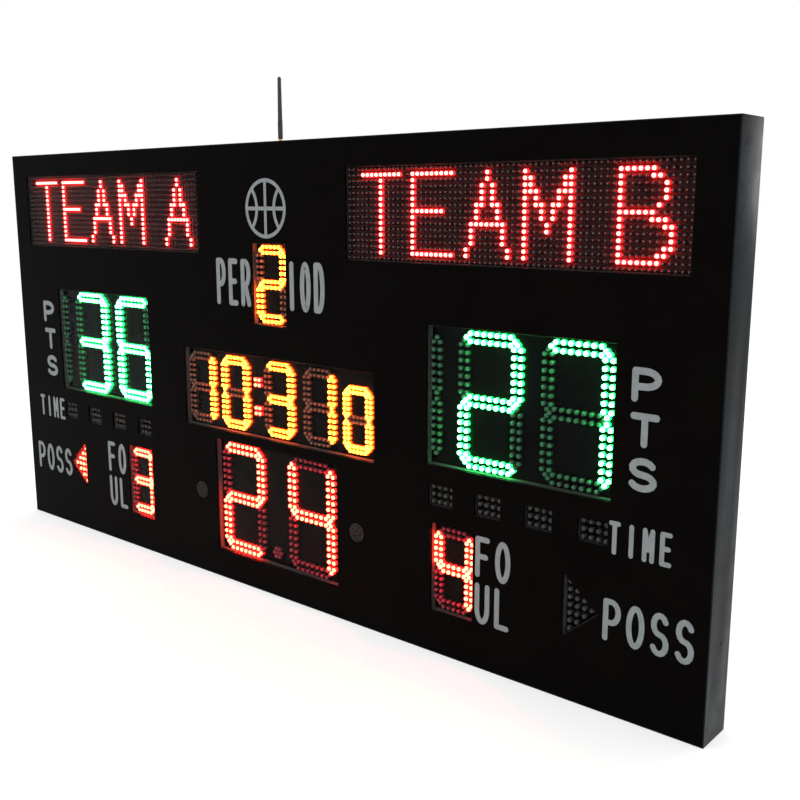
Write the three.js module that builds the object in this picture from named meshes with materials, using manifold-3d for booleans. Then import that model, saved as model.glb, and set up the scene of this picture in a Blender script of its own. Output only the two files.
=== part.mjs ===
// Electronic scoreboard for a sports hall: a shallow aluminium cabinet with a black front, glazed
// windows over rows of light-emitting diodes, a service door at the back and a folding antenna.
// Millimetres. The front looks along -Y, +Z is up, and the origin is the middle of the bottom face.
import * as THREE from "three";
import { mergeVertices } from "three/addons/utils/BufferGeometryUtils.js";
import Module from "manifold-3d";

// Cabinet
const cabinetWidth = 1800;
const cabinetHeight = 886;
const cabinetDepth = 80;
const frameWall = 2;
const frontLip = 16;
const frontChamfer = 1;
const rearCornerRadius = 8;
const rearBorder = 11;
const rearLip = 26;
const faceThickness = 4;
const faceRecess = 0.3;
const rearThickness = 2;
const bracketLeg = 60;
const bracketThickness = 3;
const bracketDepth = 50;

// Clearances
const fit = 0.3;
const overrun = 5;
const embed = 1;

// Diodes and the boards that carry them
const ledSetback = 5.5;
const ledHeight = 8.5;
const ledRadius = 2.5;
const boardDepth = 13.5;
const rimOverlap = 5;
const lensRest = 1.5;
const matrixPitch = 10;
const matrixColumns = 64;
const matrixRows = 16;
const modulesPerMatrix = 2;
const largePitch = 13;
const largeDots = 7;
const middlePitch = 10.9;
const middleDots = 5;
const smallPitch = 9.1;
const smallDots = 5;
const tipShare = 0.6;

// Windows on the front
const scoreWidth = 351;
const scoreHeight = 238;
const scoreMargin = 9;
const clockWidth = 532;
const clockHeight = 163;
const clockDigitShares = [-0.814, -0.4267, 0.0526, 0.4605];
const colonShare = -0.1786;
const tenthsShare = 0.8252;
const colonSpread = 57;
const colonDots = 2;
const periodWidth = 94.5;
const periodHeight = 156;
const shotWidth = 347;
const shotHeight = 238;
const shotDigitShare = 0.559;
const pointRadius = 12;
const foulWidth = 90;
const foulHeight = 160;
const timeoutPitch = 97.3;
const timeoutCount = 4;
const timeoutWidth = 52;
const timeoutHeight = 38;
const timeoutColumns = 4;
const timeoutRows = 3;
const arrowLength = 65;
const arrowHeight = 108;
const arrowLedInset = 9;

// Shares of the free length of each row and column of windows that lie before its pieces, from the
// middle outwards and from the bottom up
const matrixRowShares = [0.777];
const scoreRowShares = [0.419];
const timeoutRowShares = [0.7];
const lowerRowShares = [0.0485, 0.2855, 0.33];
const sideColumnShares = [0.2655, 0.1035, 0.114, 0.345];
const middleColumnShares = [0.1855, 0.059, 0.19];

// Buzzers behind the front
const buzzerRadius = 18;
const buzzerFlange = 5;
const buzzerFlangeThickness = 2.5;
const buzzerDepth = 25;
const buzzerHoleRadius = 1.3;
const buzzerHolePitch = 6;
const buzzerHoleDepth = 2;
const buzzerRings = 2;

// Uprights that carry the displays
const mullionWidth = 30;
const mullionWall = 2;

// Rear cover, vents and service door
const doorWidth = 620;
const doorHeight = 420;
const doorThickness = 1.5;
const doorOverlap = 12;
const ventMargin = 280;
const ventWidth = 90;
const ventSlot = 5;
const ventPitch = 18;
const ventCount = 9;
const hingeSpread = 300;
const hingeHeight = 60;
const hingeRadius = 3.2;
const hingePinRadius = 2;
const hingeOffset = 4;
const hingeLeafWidth = 26;
const hingeLeafThickness = 1.5;
const hingeGap = 0.6;
const lockSpread = 260;
const lockInset = 60;
const lockRadius = 9;
const lockHeadRadius = 12;
const lockHeadThickness = 3;
const lockDepth = 7.5;
const tongueLength = 56;
const tongueWidth = 12;
const tongueThickness = 2.5;
const keySlotWidth = 2;
const keySlotLength = 10;

// Hanger plates for the wall
const hangerMargin = 300;
const hangerDrop = 96;
const hangerHeight = 60;
const hangerWeb = 50;
const hangerFoot = 22;
const hangerRise = 6;
const hangerThickness = 2;
const keyholeRadius = 8;
const keyholeSlot = 8;
const keyholeLength = 18;

// Electronics
const boardWidth = 240;
const boardHeight = 160;
const boardThickness = 1.6;
const standoffLength = 6;
const standoffRadius = 3;
const standoffSpacing = 110;
const chipWidth = 60;
const chipHeight = 30;
const chipRise = 8;
const chipX = 55;
const receiverWidth = 46;
const receiverHeight = 60;
const receiverDepth = 18;
const receiverDrop = 86;
const supplyWidth = 110;
const supplyHeight = 215;
const supplyDepth = 28;
const supplyRearGap = 2.1;
const supplyTerminalHeight = 24;
const supplyTerminalDepth = 14;

// Mains inlet with its switch
const inletMargin = 340;
const inletZ = 120;
const inletFlangeWidth = 34;
const inletFlangeHeight = 66;
const inletFlangeThickness = 3;
const inletBodyWidth = 28;
const inletBodyHeight = 58;
const inletBodyDepth = 24;
const socketWidth = 24;
const socketHeight = 16.5;
const socketDepth = 16;
const socketZ = -16;
const rockerPocketWidth = 14;
const rockerPocketHeight = 21;
const rockerPocketDepth = 9;
const rockerZ = 15;
const rockerRise = 2.4;
const rockerDip = 0.6;
const rockerBelly = 5;
const rockerGap = 0.6;
const rockerTilt = 7;

// Antenna on the top
const connectorRadius = 3.2;
const connectorNutRadius = 4.7;
const connectorNutHeight = 2.5;
const connectorHeight = 9;
const connectorTail = 8;
const sleeveRadius = 4.6;
const sleeveStart = 6;
const sleeveEnd = 27;
const elbowHeight = 35;
const cheekThickness = 2.3;
const elbowPinRadius = 1.2;
const elbowGap = 0.6;
const whipHeight = 118;
const whipBaseRadius = 4.2;
const whipTipRadius = 3.4;

// Steps on round things
const cornerSteps = 5;
const roundSides = 24;
const smallSides = 12;
const holeSides = 6;

// Depths worked out from the front backwards
const frontY = -cabinetDepth / 2;
const backY = cabinetDepth / 2;
const faceFrontY = frontY + faceRecess;
const faceBackY = faceFrontY + faceThickness;
const seatY = faceBackY + fit;
const ledTipY = faceFrontY + ledSetback;
const boardY = ledTipY + ledHeight;
const stripBackY = ledTipY - fit;
const displayBackY = boardY + boardDepth;
const rearInnerY = backY - rearThickness;
const mullionY = displayBackY + fit;
const mullionBackY = rearInnerY - supplyRearGap - supplyDepth - fit;
const mullionDepth = mullionBackY - mullionY;
const doorY = backY + fit;
const doorBackY = doorY + doorThickness;
const hingeY = backY + hingeOffset;

// Middles of pieces in a row, each with its share of the row's free length before it
function setOut([start, end], sizes, shares) {
  const free = sizes.reduce((left, size) => left - size, end - start);
  let reached = start;
  return sizes.map((size, i) => {
    reached += shares[i] * free + size;
    return reached - size / 2;
  });
}

// Places of the windows and of what lines up with them
const matrixWidth = matrixColumns * matrixPitch;
const matrixHeight = matrixRows * matrixPitch;
const timeoutRowWidth = (timeoutCount - 1) * timeoutPitch + timeoutWidth;
const buzzerWidth = 2 * (buzzerRadius + buzzerFlange);
const halfWidth = cabinetWidth / 2;
const lowerRow = [buzzerWidth, foulWidth, arrowLength];
const sideColumn = [foulHeight, timeoutHeight, scoreHeight, matrixHeight];
const middleColumn = [shotHeight, clockHeight, periodHeight];
const [matrixX] = setOut([0, halfWidth], [matrixWidth], matrixRowShares);
const [scoreX] = setOut([clockWidth / 2, halfWidth], [scoreWidth], scoreRowShares);
const [timeoutX] = setOut([0, halfWidth], [timeoutRowWidth], timeoutRowShares);
const [buzzerX, foulX, arrowX] = setOut([shotWidth / 2, halfWidth], lowerRow, lowerRowShares);
const [foulZ, timeoutZ, scoreZ, matrixZ] = setOut([0, cabinetHeight], sideColumn, sideColumnShares);
const [shotZ, clockZ, periodZ] = setOut([0, cabinetHeight], middleColumn, middleColumnShares);
const arrowZ = foulZ;
const buzzerZ = shotZ;
const mullionX = foulX;
const doorZ = cabinetHeight / 2;
const inletX = halfWidth - inletMargin;

const quarterTurn = Math.PI / 2;
const degree = Math.PI / 180;

const wasm = await Module();
wasm.setup();

// A closed geometry as a solid that can be cut and joined.
const mergeDistance = 1e-3;
function solid(geometry) {
  const bare = geometry.clone();
  bare.deleteAttribute("normal");
  bare.deleteAttribute("uv");
  const merged = mergeVertices(bare, mergeDistance);
  return new wasm.Manifold(
    new wasm.Mesh({
      numProp: 3,
      vertProperties: merged.attributes.position.array,
      triVerts: new Uint32Array(merged.index.array),
    }),
  );
}

// The solid's faces as a geometry again.
function geometryOf(made) {
  const mesh = made.getMesh();
  const geometry = new THREE.BufferGeometry();
  geometry.setAttribute("position", new THREE.BufferAttribute(mesh.vertProperties, 3));
  geometry.setIndex(new THREE.BufferAttribute(mesh.triVerts, 1));
  geometry.computeVertexNormals();
  return geometry;
}

// One geometry with others joined to it and then others cut from it.
function worked(base, { add = [], cut = [] }) {
  let made = solid(base);
  for (const piece of add) made = made.add(solid(piece));
  for (const piece of cut) made = made.subtract(solid(piece));
  return geometryOf(made);
}

// Box between two corners.
function block([x0, x1], [y0, y1], [z0, z1]) {
  const box = new THREE.BoxGeometry(x1 - x0, y1 - y0, z1 - z0);
  return box.translate((x0 + x1) / 2, (y0 + y1) / 2, (z0 + z1) / 2);
}

// Range of a length about its middle.
function span(middle, length) {
  return [middle - length / 2, middle + length / 2];
}

// Round bar along one axis between two places on it, with its other two coordinates given.
function round(axis, radius, [from, to], [a, b], facets = roundSides, endRadius = radius) {
  const bar = new THREE.CylinderGeometry(endRadius, radius, to - from, facets);
  const middle = (from + to) / 2;
  if (axis === "x") return bar.rotateZ(-quarterTurn).translate(middle, a, b);
  if (axis === "y") return bar.translate(a, middle, b);
  return bar.rotateX(quarterTurn).translate(a, b, middle);
}

function rectangle(width, height, x = 0, z = 0) {
  const corners = [[-1, -1], [1, -1], [1, 1], [-1, 1]];
  return corners.map(([i, j]) => new THREE.Vector2(x + (i * width) / 2, z + (j * height) / 2));
}

function circle(radius, facets, x = 0, z = 0) {
  const step = (2 * Math.PI) / facets;
  return Array.from({ length: facets }, (_, i) => {
    return new THREE.Vector2(x + radius * Math.cos(i * step), z + radius * Math.sin(i * step));
  });
}

// A convex outline, drawn anticlockwise, with every side moved out by a distance.
function grown(outline, distance) {
  const count = outline.length;
  return outline.map((corner, i) => {
    const into = corner.clone().sub(outline[(i + count - 1) % count]).normalize();
    const out = outline[(i + 1) % count].clone().sub(corner).normalize();
    const normal = new THREE.Vector2(into.y + out.y, -into.x - out.x).normalize();
    const reach = distance / (normal.x * into.y - normal.y * into.x);
    return corner.clone().add(normal.multiplyScalar(reach));
  });
}

// An outline drawn on the front, in X and Z, and made thick between two depths.
function slab(outline, [y0, y1]) {
  const options = { depth: y1 - y0, bevelEnabled: false };
  const plate = new THREE.ExtrudeGeometry(new THREE.Shape(outline), options);
  return plate.rotateX(quarterTurn).translate(0, y1, 0);
}

// The same with openings cut right through it.
function cutSlab(outline, [y0, y1], openings) {
  const cut = openings.map((opening) => slab(opening, [y0 - overrun, y1 + overrun]));
  return worked(slab(outline, [y0, y1]), { cut });
}

const finishes = {
  frame: { color: "#22262a", roughness: 0.45, metalness: 0.6 },
  face: { color: "#0e0e0f", roughness: 0.4, metalness: 0.0 },
  lens: { color: "#1a1c1e", roughness: 0.05, metalness: 0.0 },
  display: { color: "#141414", roughness: 0.3, metalness: 0.0 },
  steel: { color: "#9aa0a4", roughness: 0.35, metalness: 0.9 },
  plastic: { color: "#18191b", roughness: 0.5, metalness: 0.0 },
  brass: { color: "#c2a45a", roughness: 0.3, metalness: 1.0 },
  laminate: { color: "#1f5a3a", roughness: 0.5, metalness: 0.0 },
};

function piece(name, finish, geometry, place = [0, 0, 0]) {
  const mesh = new THREE.Mesh(geometry, new THREE.MeshStandardMaterial(finishes[finish]));
  mesh.name = name;
  mesh.position.set(...place);
  return mesh;
}

const sides = [
  { side: "left", sign: -1 },
  { side: "right", sign: 1 },
];

// Cabinet frame: one extruded section with a lip for the front, a step for the rear cover and a
// rounded back edge, mitred at both ends. The section's first axis runs inwards.
function frameSection() {
  const seat = seatY - frontY;
  const rearSeat = cabinetDepth - rearThickness - fit;
  const arcDepth = cabinetDepth - rearCornerRadius;
  const section = new THREE.Shape();
  section.moveTo(0, frontChamfer);
  section.lineTo(frontChamfer, 0);
  section.lineTo(frameWall, 0);
  section.lineTo(frameWall, seat);
  section.lineTo(frontLip, seat);
  section.lineTo(frontLip, seat + frameWall);
  section.lineTo(frameWall, seat + frameWall);
  const innerRadius = rearCornerRadius - frameWall;
  section.absarc(rearCornerRadius, arcDepth, innerRadius, Math.PI, quarterTurn, true);
  section.lineTo(rearBorder - frameWall, cabinetDepth - frameWall);
  section.lineTo(rearBorder - frameWall, rearSeat - frameWall);
  section.lineTo(rearLip, rearSeat - frameWall);
  section.lineTo(rearLip, rearSeat);
  section.lineTo(rearBorder, rearSeat);
  section.lineTo(rearBorder, cabinetDepth);
  section.absarc(rearCornerRadius, arcDepth, rearCornerRadius, quarterTurn, Math.PI, false);
  return section;
}

function mitredBar(length) {
  const options = { depth: length, bevelEnabled: false, curveSegments: cornerSteps };
  const bar = new THREE.ExtrudeGeometry(frameSection(), options);
  const points = bar.attributes.position;
  for (let i = 0; i < points.count; i++) {
    const reach = points.getX(i) + fit / 2;
    points.setZ(i, points.getZ(i) > length / 2 ? length - reach : reach);
  }
  return bar;
}

function frame() {
  const group = new THREE.Group();
  const antennaHole = round(
    "x",
    connectorRadius + fit,
    [-overrun, frameWall + overrun],
    [cabinetDepth / 2, cabinetWidth / 2],
    smallSides,
  );
  const members = [
    ["frame_left", mitredBar(cabinetHeight), -cabinetWidth / 2, 0],
    ["frame_top", worked(mitredBar(cabinetWidth), { cut: [antennaHole] }), -cabinetWidth / 2, 1],
    ["frame_right", mitredBar(cabinetHeight), cabinetWidth / 2, 2],
    ["frame_bottom", mitredBar(cabinetWidth), cabinetWidth / 2, 3],
  ];
  for (const [name, geometry, x, turns] of members) {
    const member = piece(name, "frame", geometry);
    member.position.set(x, frontY, turns === 1 || turns === 2 ? cabinetHeight : 0);
    member.rotation.y = turns * quarterTurn;
    group.add(member);
  }
  return group;
}

// Angle cleats that hold the frame's corners together from inside.
function cornerBrackets() {
  const group = new THREE.Group();
  const inset = frameWall + fit;
  const outline = [
    new THREE.Vector2(0, 0),
    new THREE.Vector2(bracketLeg, 0),
    new THREE.Vector2(bracketLeg, bracketThickness),
    new THREE.Vector2(bracketThickness, bracketThickness),
    new THREE.Vector2(bracketThickness, bracketLeg),
    new THREE.Vector2(0, bracketLeg),
  ];
  const corners = [
    ["lower_left", -1, 0],
    ["upper_left", -1, 1],
    ["upper_right", 1, 2],
    ["lower_right", 1, 3],
  ];
  for (const [corner, sign, turns] of corners) {
    const bracket = piece("corner_bracket_" + corner, "steel", slab(outline, span(0, bracketDepth)));
    const z = turns === 1 || turns === 2 ? cabinetHeight - inset : inset;
    bracket.position.set(sign * (cabinetWidth / 2 - inset), 0, z);
    bracket.rotation.y = turns * quarterTurn;
    group.add(bracket);
  }
  return group;
}

// Outlines of the windows, each about its own middle.
const matrixOutline = rectangle(matrixWidth, matrixHeight);
const scoreOutline = rectangle(scoreWidth, scoreHeight);
const clockOutline = rectangle(clockWidth, clockHeight);
const periodOutline = rectangle(periodWidth, periodHeight);
const shotOutline = rectangle(shotWidth, shotHeight);
const foulOutline = rectangle(foulWidth, foulHeight);
const timeoutCentres = Array.from({ length: timeoutCount }, (_, i) => {
  return (i - (timeoutCount - 1) / 2) * timeoutPitch;
});
const timeoutOutlines = timeoutCentres.map((x) => rectangle(timeoutWidth, timeoutHeight, x));
const arrowOutline = [
  new THREE.Vector2(-arrowLength / 2, -arrowHeight / 2),
  new THREE.Vector2(arrowLength / 2, 0),
  new THREE.Vector2(-arrowLength / 2, arrowHeight / 2),
];

function moved(outline, x, z, sign = 1) {
  return outline.map((p) => new THREE.Vector2(x + sign * p.x, z + p.y));
}

// Black front sheet with its window and buzzer openings.
function facePanel() {
  const inset = 2 * (frameWall + fit);
  const outline = rectangle(cabinetWidth - inset, cabinetHeight - inset, 0, cabinetHeight / 2);
  const holes = [
    moved(clockOutline, 0, clockZ),
    moved(periodOutline, 0, periodZ),
    moved(shotOutline, 0, shotZ),
  ];
  for (const { sign } of sides) {
    holes.push(moved(matrixOutline, sign * matrixX, matrixZ));
    holes.push(moved(scoreOutline, sign * scoreX, scoreZ));
    holes.push(moved(foulOutline, sign * foulX, foulZ));
    holes.push(moved(arrowOutline, sign * arrowX, arrowZ, sign));
    holes.push(circle(buzzerRadius, roundSides, sign * buzzerX, buzzerZ));
    for (const cell of timeoutOutlines) holes.push(moved(cell, sign * timeoutX, timeoutZ));
  }
  return piece("face_panel", "face", cutSlab(outline, [faceFrontY, faceBackY], holes));
}

// A row of paired diodes as one six-sided bar, lying along X or standing along Z.
function segment(dots, pitch, x, z, upright) {
  const half = ((dots - 1) * pitch) / 2 + ledRadius;
  const tip = half + tipShare * pitch;
  const width = pitch / 2 + ledRadius;
  const along = [[-tip, 0], [-half, -width], [half, -width], [tip, 0], [half, width], [-half, width]];
  const outline = along.map(([a, b]) => {
    return upright ? new THREE.Vector2(x - b, z + a) : new THREE.Vector2(x + a, z + b);
  });
  return slab(outline, [ledTipY, boardY + embed]);
}

// The seven bars of a digit about its middle. A half digit has only the two upright ones.
function digit(dots, pitch, x, z) {
  const reach = ((dots + 1) * pitch) / 2;
  return [
    segment(dots, pitch, x, z, false),
    segment(dots, pitch, x, z + 2 * reach, false),
    segment(dots, pitch, x, z - 2 * reach, false),
    ...halfDigit(dots, pitch, x - reach, z),
    ...halfDigit(dots, pitch, x + reach, z),
  ];
}

function halfDigit(dots, pitch, x, z) {
  const reach = ((dots + 1) * pitch) / 2;
  return [segment(dots, pitch, x, z + reach, true), segment(dots, pitch, x, z - reach, true)];
}

// A block of diodes in columns and rows.
function dotBlock(columns, rows, pitch, x, z) {
  const width = (columns - 1) * pitch + 2 * ledRadius;
  const height = (rows - 1) * pitch + 2 * ledRadius;
  return slab(rectangle(width, height, x, z), [ledTipY, boardY + embed]);
}

// Moulded tray that closes a window from behind, with its board at the bottom of the recess.
function tray(windows, rim, front, bars) {
  const base = slab(rim, [front, displayBackY]);
  const pockets = windows.map((outline) => {
    return slab(grown(outline, -lensRest), [front - overrun, boardY]);
  });
  return worked(worked(base, { cut: pockets }), { add: bars });
}

function plainTray(outline, bars) {
  return tray([outline], grown(outline, rimOverlap), seatY, bars);
}

// Clear window that fills its opening in the front sheet.
function lens(outline) {
  return slab(grown(outline, -fit), [faceFrontY, faceBackY]);
}

// Moving-message panels: a surround behind the front, and two modules of diodes side by side.
function matrixPanels() {
  const group = new THREE.Group();
  const moduleWidth = matrixWidth / modulesPerMatrix;
  const rim = grown(matrixOutline, rimOverlap);
  const opening = grown(matrixOutline, -lensRest);
  const surround = cutSlab(rim, [seatY, boardY - fit], [opening]);
  const rowLength = moduleWidth - matrixPitch + 2 * ledRadius;
  const rows = Array.from({ length: matrixRows }, (_, row) => {
    const z = (row - (matrixRows - 1) / 2) * matrixPitch;
    return slab(rectangle(rowLength, 2 * ledRadius, 0, z), [ledTipY, boardY + embed]);
  });
  const body = block(
    span(0, moduleWidth - fit),
    [boardY, displayBackY],
    span(0, matrixHeight - fit),
  );
  const module = worked(body, { add: rows });
  for (const { side, sign } of sides) {
    const place = [sign * matrixX, 0, matrixZ];
    group.add(piece("matrix_window_" + side, "lens", lens(matrixOutline), place));
    group.add(piece("matrix_surround_" + side, "display", surround.clone(), place));
    for (let i = 0; i < modulesPerMatrix; i++) {
      const x = place[0] + (i - (modulesPerMatrix - 1) / 2) * moduleWidth;
      const name = "matrix_module_" + side + "_" + (i + 1);
      group.add(piece(name, "display", module.clone(), [x, 0, matrixZ]));
    }
  }
  return group;
}

// Digit displays with their windows.
function digitDisplays() {
  const group = new THREE.Group();
  const show = (name, outline, bars, place) => {
    group.add(piece(name.replace("display", "window"), "lens", lens(outline), place));
    group.add(piece(name, "display", plainTray(outline, bars), place));
  };
  const largeSpan = (largeDots + 2) * largePitch;
  const lit = scoreWidth - 2 * scoreMargin;
  const digitStep = (lit - largePitch) / 2;
  const lastX = (lit - largeSpan) / 2;
  const scoreBars = [
    ...halfDigit(largeDots, largePitch, (largePitch - lit) / 2, 0),
    ...digit(largeDots, largePitch, lastX - digitStep, 0),
    ...digit(largeDots, largePitch, lastX, 0),
  ];
  const foulBars = digit(middleDots, middlePitch, 0, 0);
  for (const { side, sign } of sides) {
    show("score_display_" + side, scoreOutline, scoreBars, [sign * scoreX, 0, scoreZ]);
    show("foul_display_" + side, foulOutline, foulBars, [sign * foulX, 0, foulZ]);
  }
  show("period_display", periodOutline, digit(middleDots, middlePitch, 0, 0), [0, 0, periodZ]);

  const tenthsZ = (smallDots + 1) * smallPitch - (middleDots + 1) * middlePitch;
  const clockReach = clockWidth / 2;
  const clockBars = clockDigitShares.flatMap((share) => {
    return digit(middleDots, middlePitch, share * clockReach, 0);
  });
  clockBars.push(...digit(smallDots, smallPitch, tenthsShare * clockReach, tenthsZ));
  for (const z of [-colonSpread / 2, colonSpread / 2]) {
    clockBars.push(dotBlock(colonDots, colonDots, middlePitch, colonShare * clockReach, z));
  }
  show("clock_display", clockOutline, clockBars, [0, 0, clockZ]);

  const pointZ = pointRadius - (largeDots + 1) * largePitch;
  const point = slab(circle(pointRadius, smallSides, 0, pointZ), [ledTipY, boardY + embed]);
  const shotDigitX = (shotDigitShare * shotWidth) / 2;
  const shotBars = [
    ...digit(largeDots, largePitch, -shotDigitX, 0),
    ...digit(largeDots, largePitch, shotDigitX, 0),
    point,
  ];
  show("shot_clock_display", shotOutline, shotBars, [0, 0, shotZ]);
  return group;
}

// Four small timeout windows share one lens strip and one tray on each side.
function timeoutDisplays() {
  const group = new THREE.Group();
  const strip = rectangle(timeoutRowWidth + 2 * rimOverlap, timeoutHeight + 2 * rimOverlap);
  const plugs = timeoutOutlines.map((cell) => {
    return slab(grown(cell, -fit), [faceFrontY, (seatY + stripBackY) / 2]);
  });
  const plate = worked(slab(strip, [seatY, stripBackY]), { add: plugs });
  const bars = timeoutCentres.map((x) => dotBlock(timeoutColumns, timeoutRows, largePitch, x, 0));
  const holder = tray(timeoutOutlines, strip, ledTipY, bars);
  for (const { side, sign } of sides) {
    const place = [sign * timeoutX, 0, timeoutZ];
    group.add(piece("timeout_window_" + side, "lens", plate.clone(), place));
    group.add(piece("timeout_display_" + side, "display", holder.clone(), place));
  }
  return group;
}

// Possession arrows, which point away from the middle of the board.
function possessionArrows() {
  const group = new THREE.Group();
  const led = grown(arrowOutline, ledRadius - arrowLedInset);
  const holder = plainTray(arrowOutline, [slab(led, [ledTipY, boardY + embed])]);
  for (const { side, sign } of sides) {
    const arrow = new THREE.Group();
    arrow.add(piece("possession_window_" + side, "lens", lens(arrowOutline)));
    arrow.add(piece("possession_display_" + side, "display", holder.clone()));
    arrow.position.set(sign * arrowX, 0, arrowZ);
    arrow.rotation.y = sign > 0 ? 0 : Math.PI;
    group.add(arrow);
  }
  return group;
}

// Buzzers: a flanged can behind the front with a perforated cap that fills the round opening.
function buzzers() {
  const group = new THREE.Group();
  const capRadius = buzzerRadius - fit;
  const can = round("y", capRadius, [faceFrontY, faceFrontY + buzzerDepth], [0, 0]);
  const flange = round(
    "y",
    buzzerRadius + buzzerFlange,
    [seatY, seatY + buzzerFlangeThickness],
    [0, 0],
  );
  const holes = [];
  for (let ring = 0; ring <= buzzerRings; ring++) {
    const places = ring ? circle(ring * buzzerHolePitch, ring * holeSides) : [new THREE.Vector2()];
    const depth = [faceFrontY - overrun, faceFrontY + buzzerHoleDepth];
    for (const p of places) {
      holes.push(round("y", buzzerHoleRadius, depth, [p.x, p.y], holeSides));
    }
  }
  const buzzer = worked(can, { add: [flange], cut: holes });
  for (const { side, sign } of sides) {
    group.add(piece("buzzer_" + side, "plastic", buzzer.clone(), [sign * buzzerX, 0, buzzerZ]));
  }
  return group;
}

// Channel uprights behind the displays, open to the back.
function mullions() {
  const group = new THREE.Group();
  const half = mullionWidth / 2;
  const inner = half - mullionWall;
  const section = new THREE.Shape([
    new THREE.Vector2(-half, 0),
    new THREE.Vector2(half, 0),
    new THREE.Vector2(half, mullionDepth),
    new THREE.Vector2(inner, mullionDepth),
    new THREE.Vector2(inner, mullionWall),
    new THREE.Vector2(-inner, mullionWall),
    new THREE.Vector2(-inner, mullionDepth),
    new THREE.Vector2(-half, mullionDepth),
  ]);
  const depth = cabinetHeight - 2 * (frameWall + fit);
  const channel = new THREE.ExtrudeGeometry(section, { depth, bevelEnabled: false });
  const places = [["left", -mullionX], ["centre", 0], ["right", mullionX]];
  for (const [where, x] of places) {
    const place = [x, mullionY, frameWall + fit];
    group.add(piece("mullion_" + where, "steel", channel.clone(), place));
  }
  return group;
}

// Rear cover with the service opening, two banks of vent slots and the inlet's cut-out.
function rearPanel() {
  const inset = 2 * (rearBorder + fit);
  const outline = rectangle(cabinetWidth - inset, cabinetHeight - inset, 0, cabinetHeight / 2);
  const holes = [
    rectangle(doorWidth - 2 * doorOverlap, doorHeight - 2 * doorOverlap, 0, doorZ),
    rectangle(inletBodyWidth + 2 * fit, inletBodyHeight + 2 * fit, inletX, inletZ),
  ];
  for (const { sign } of sides) {
    for (let i = 0; i < ventCount; i++) {
      const z = doorZ + (i - (ventCount - 1) / 2) * ventPitch;
      holes.push(rectangle(ventWidth, ventSlot, sign * (halfWidth - ventMargin), z));
    }
  }
  return piece("rear_panel", "frame", cutSlab(outline, [rearInnerY, backY], holes));
}

// Service door: an overlapping hatch, hinged on its low-X edge, with two quarter-turn locks.
const hingeX = -doorWidth / 2 - hingeOffset;
const lockX = doorWidth / 2 - lockInset;
const thirdHeight = hingeHeight / 3;
const hingePlaces = [
  ["lower", doorZ - hingeSpread / 2],
  ["upper", doorZ + hingeSpread / 2],
];
const lockPlaces = [
  ["lower", doorZ - lockSpread / 2],
  ["upper", doorZ + lockSpread / 2],
];

function serviceDoor() {
  const group = new THREE.Group();
  const plate = slab(rectangle(doorWidth, doorHeight, 0, doorZ), [doorY, doorBackY]);
  const barrel = hingePinRadius + fit;
  const doorLeafY = [doorBackY - embed / 2, doorBackY + hingeLeafThickness];
  const knuckles = [];
  const bores = [];
  for (const [, z] of hingePlaces) {
    const height = span(z, thirdHeight - 2 * hingeGap);
    knuckles.push(round("z", hingeRadius, height, [hingeX, hingeY], smallSides));
    knuckles.push(block([hingeX, hingeX + hingeLeafWidth], doorLeafY, height));
    bores.push(round("z", barrel, span(z, hingeHeight), [hingeX, hingeY], smallSides));
  }
  for (const [, z] of lockPlaces) {
    const depth = [doorY - overrun, doorBackY + overrun];
    bores.push(round("y", lockRadius + fit, depth, [lockX, z]));
  }
  group.add(piece("service_door", "frame", worked(plate, { add: knuckles, cut: bores })));
  for (const [where, z] of hingePlaces) {
    group.add(piece("door_hinge_" + where, "steel", fixedHinge(), [hingeX, hingeY, z]));
  }
  for (const [where, z] of lockPlaces) {
    group.add(piece("door_lock_" + where, "steel", camLock(), [lockX, 0, z]));
  }
  return group;
}

// Leaf on the rear cover with the two outer knuckles and the pin, about the hinge's own axis.
function fixedHinge() {
  const pin = round("z", hingePinRadius, span(0, hingeHeight - embed), [0, 0], smallSides);
  const leafDepth = [backY + fit - hingeY, backY + fit - hingeY + hingeLeafThickness];
  const add = [];
  for (const sign of [-1, 1]) {
    const height = span(sign * thirdHeight, thirdHeight);
    add.push(round("z", hingeRadius, height, [0, 0], smallSides));
    add.push(block([-hingeLeafWidth, 0], leafDepth, height));
  }
  add.push(block([-hingeLeafWidth, -hingeRadius - fit], leafDepth, span(0, hingeHeight)));
  return worked(pin, { add });
}

// Quarter-turn lock, at rest with its tongue upright, clear of the rear cover.
function camLock() {
  const headStart = doorBackY + fit;
  const tongueStart = doorY - lockDepth;
  const barrel = round("y", lockRadius, [tongueStart, headStart + embed], [0, 0]);
  const headDepth = [headStart, headStart + lockHeadThickness];
  const head = round("y", lockHeadRadius, headDepth, [0, 0]);
  const tongueX = span(0, tongueWidth);
  const tongueEnd = tongueStart + tongueThickness;
  const tongue = block(tongueX, [tongueStart, tongueEnd], [-tongueWidth / 2, tongueLength]);
  const slotDepth = [headDepth[1] - embed, headDepth[1] + overrun];
  const slot = block(span(0, keySlotWidth), slotDepth, span(0, keySlotLength));
  return worked(barrel, { add: [head, tongue], cut: [slot] });
}

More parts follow.
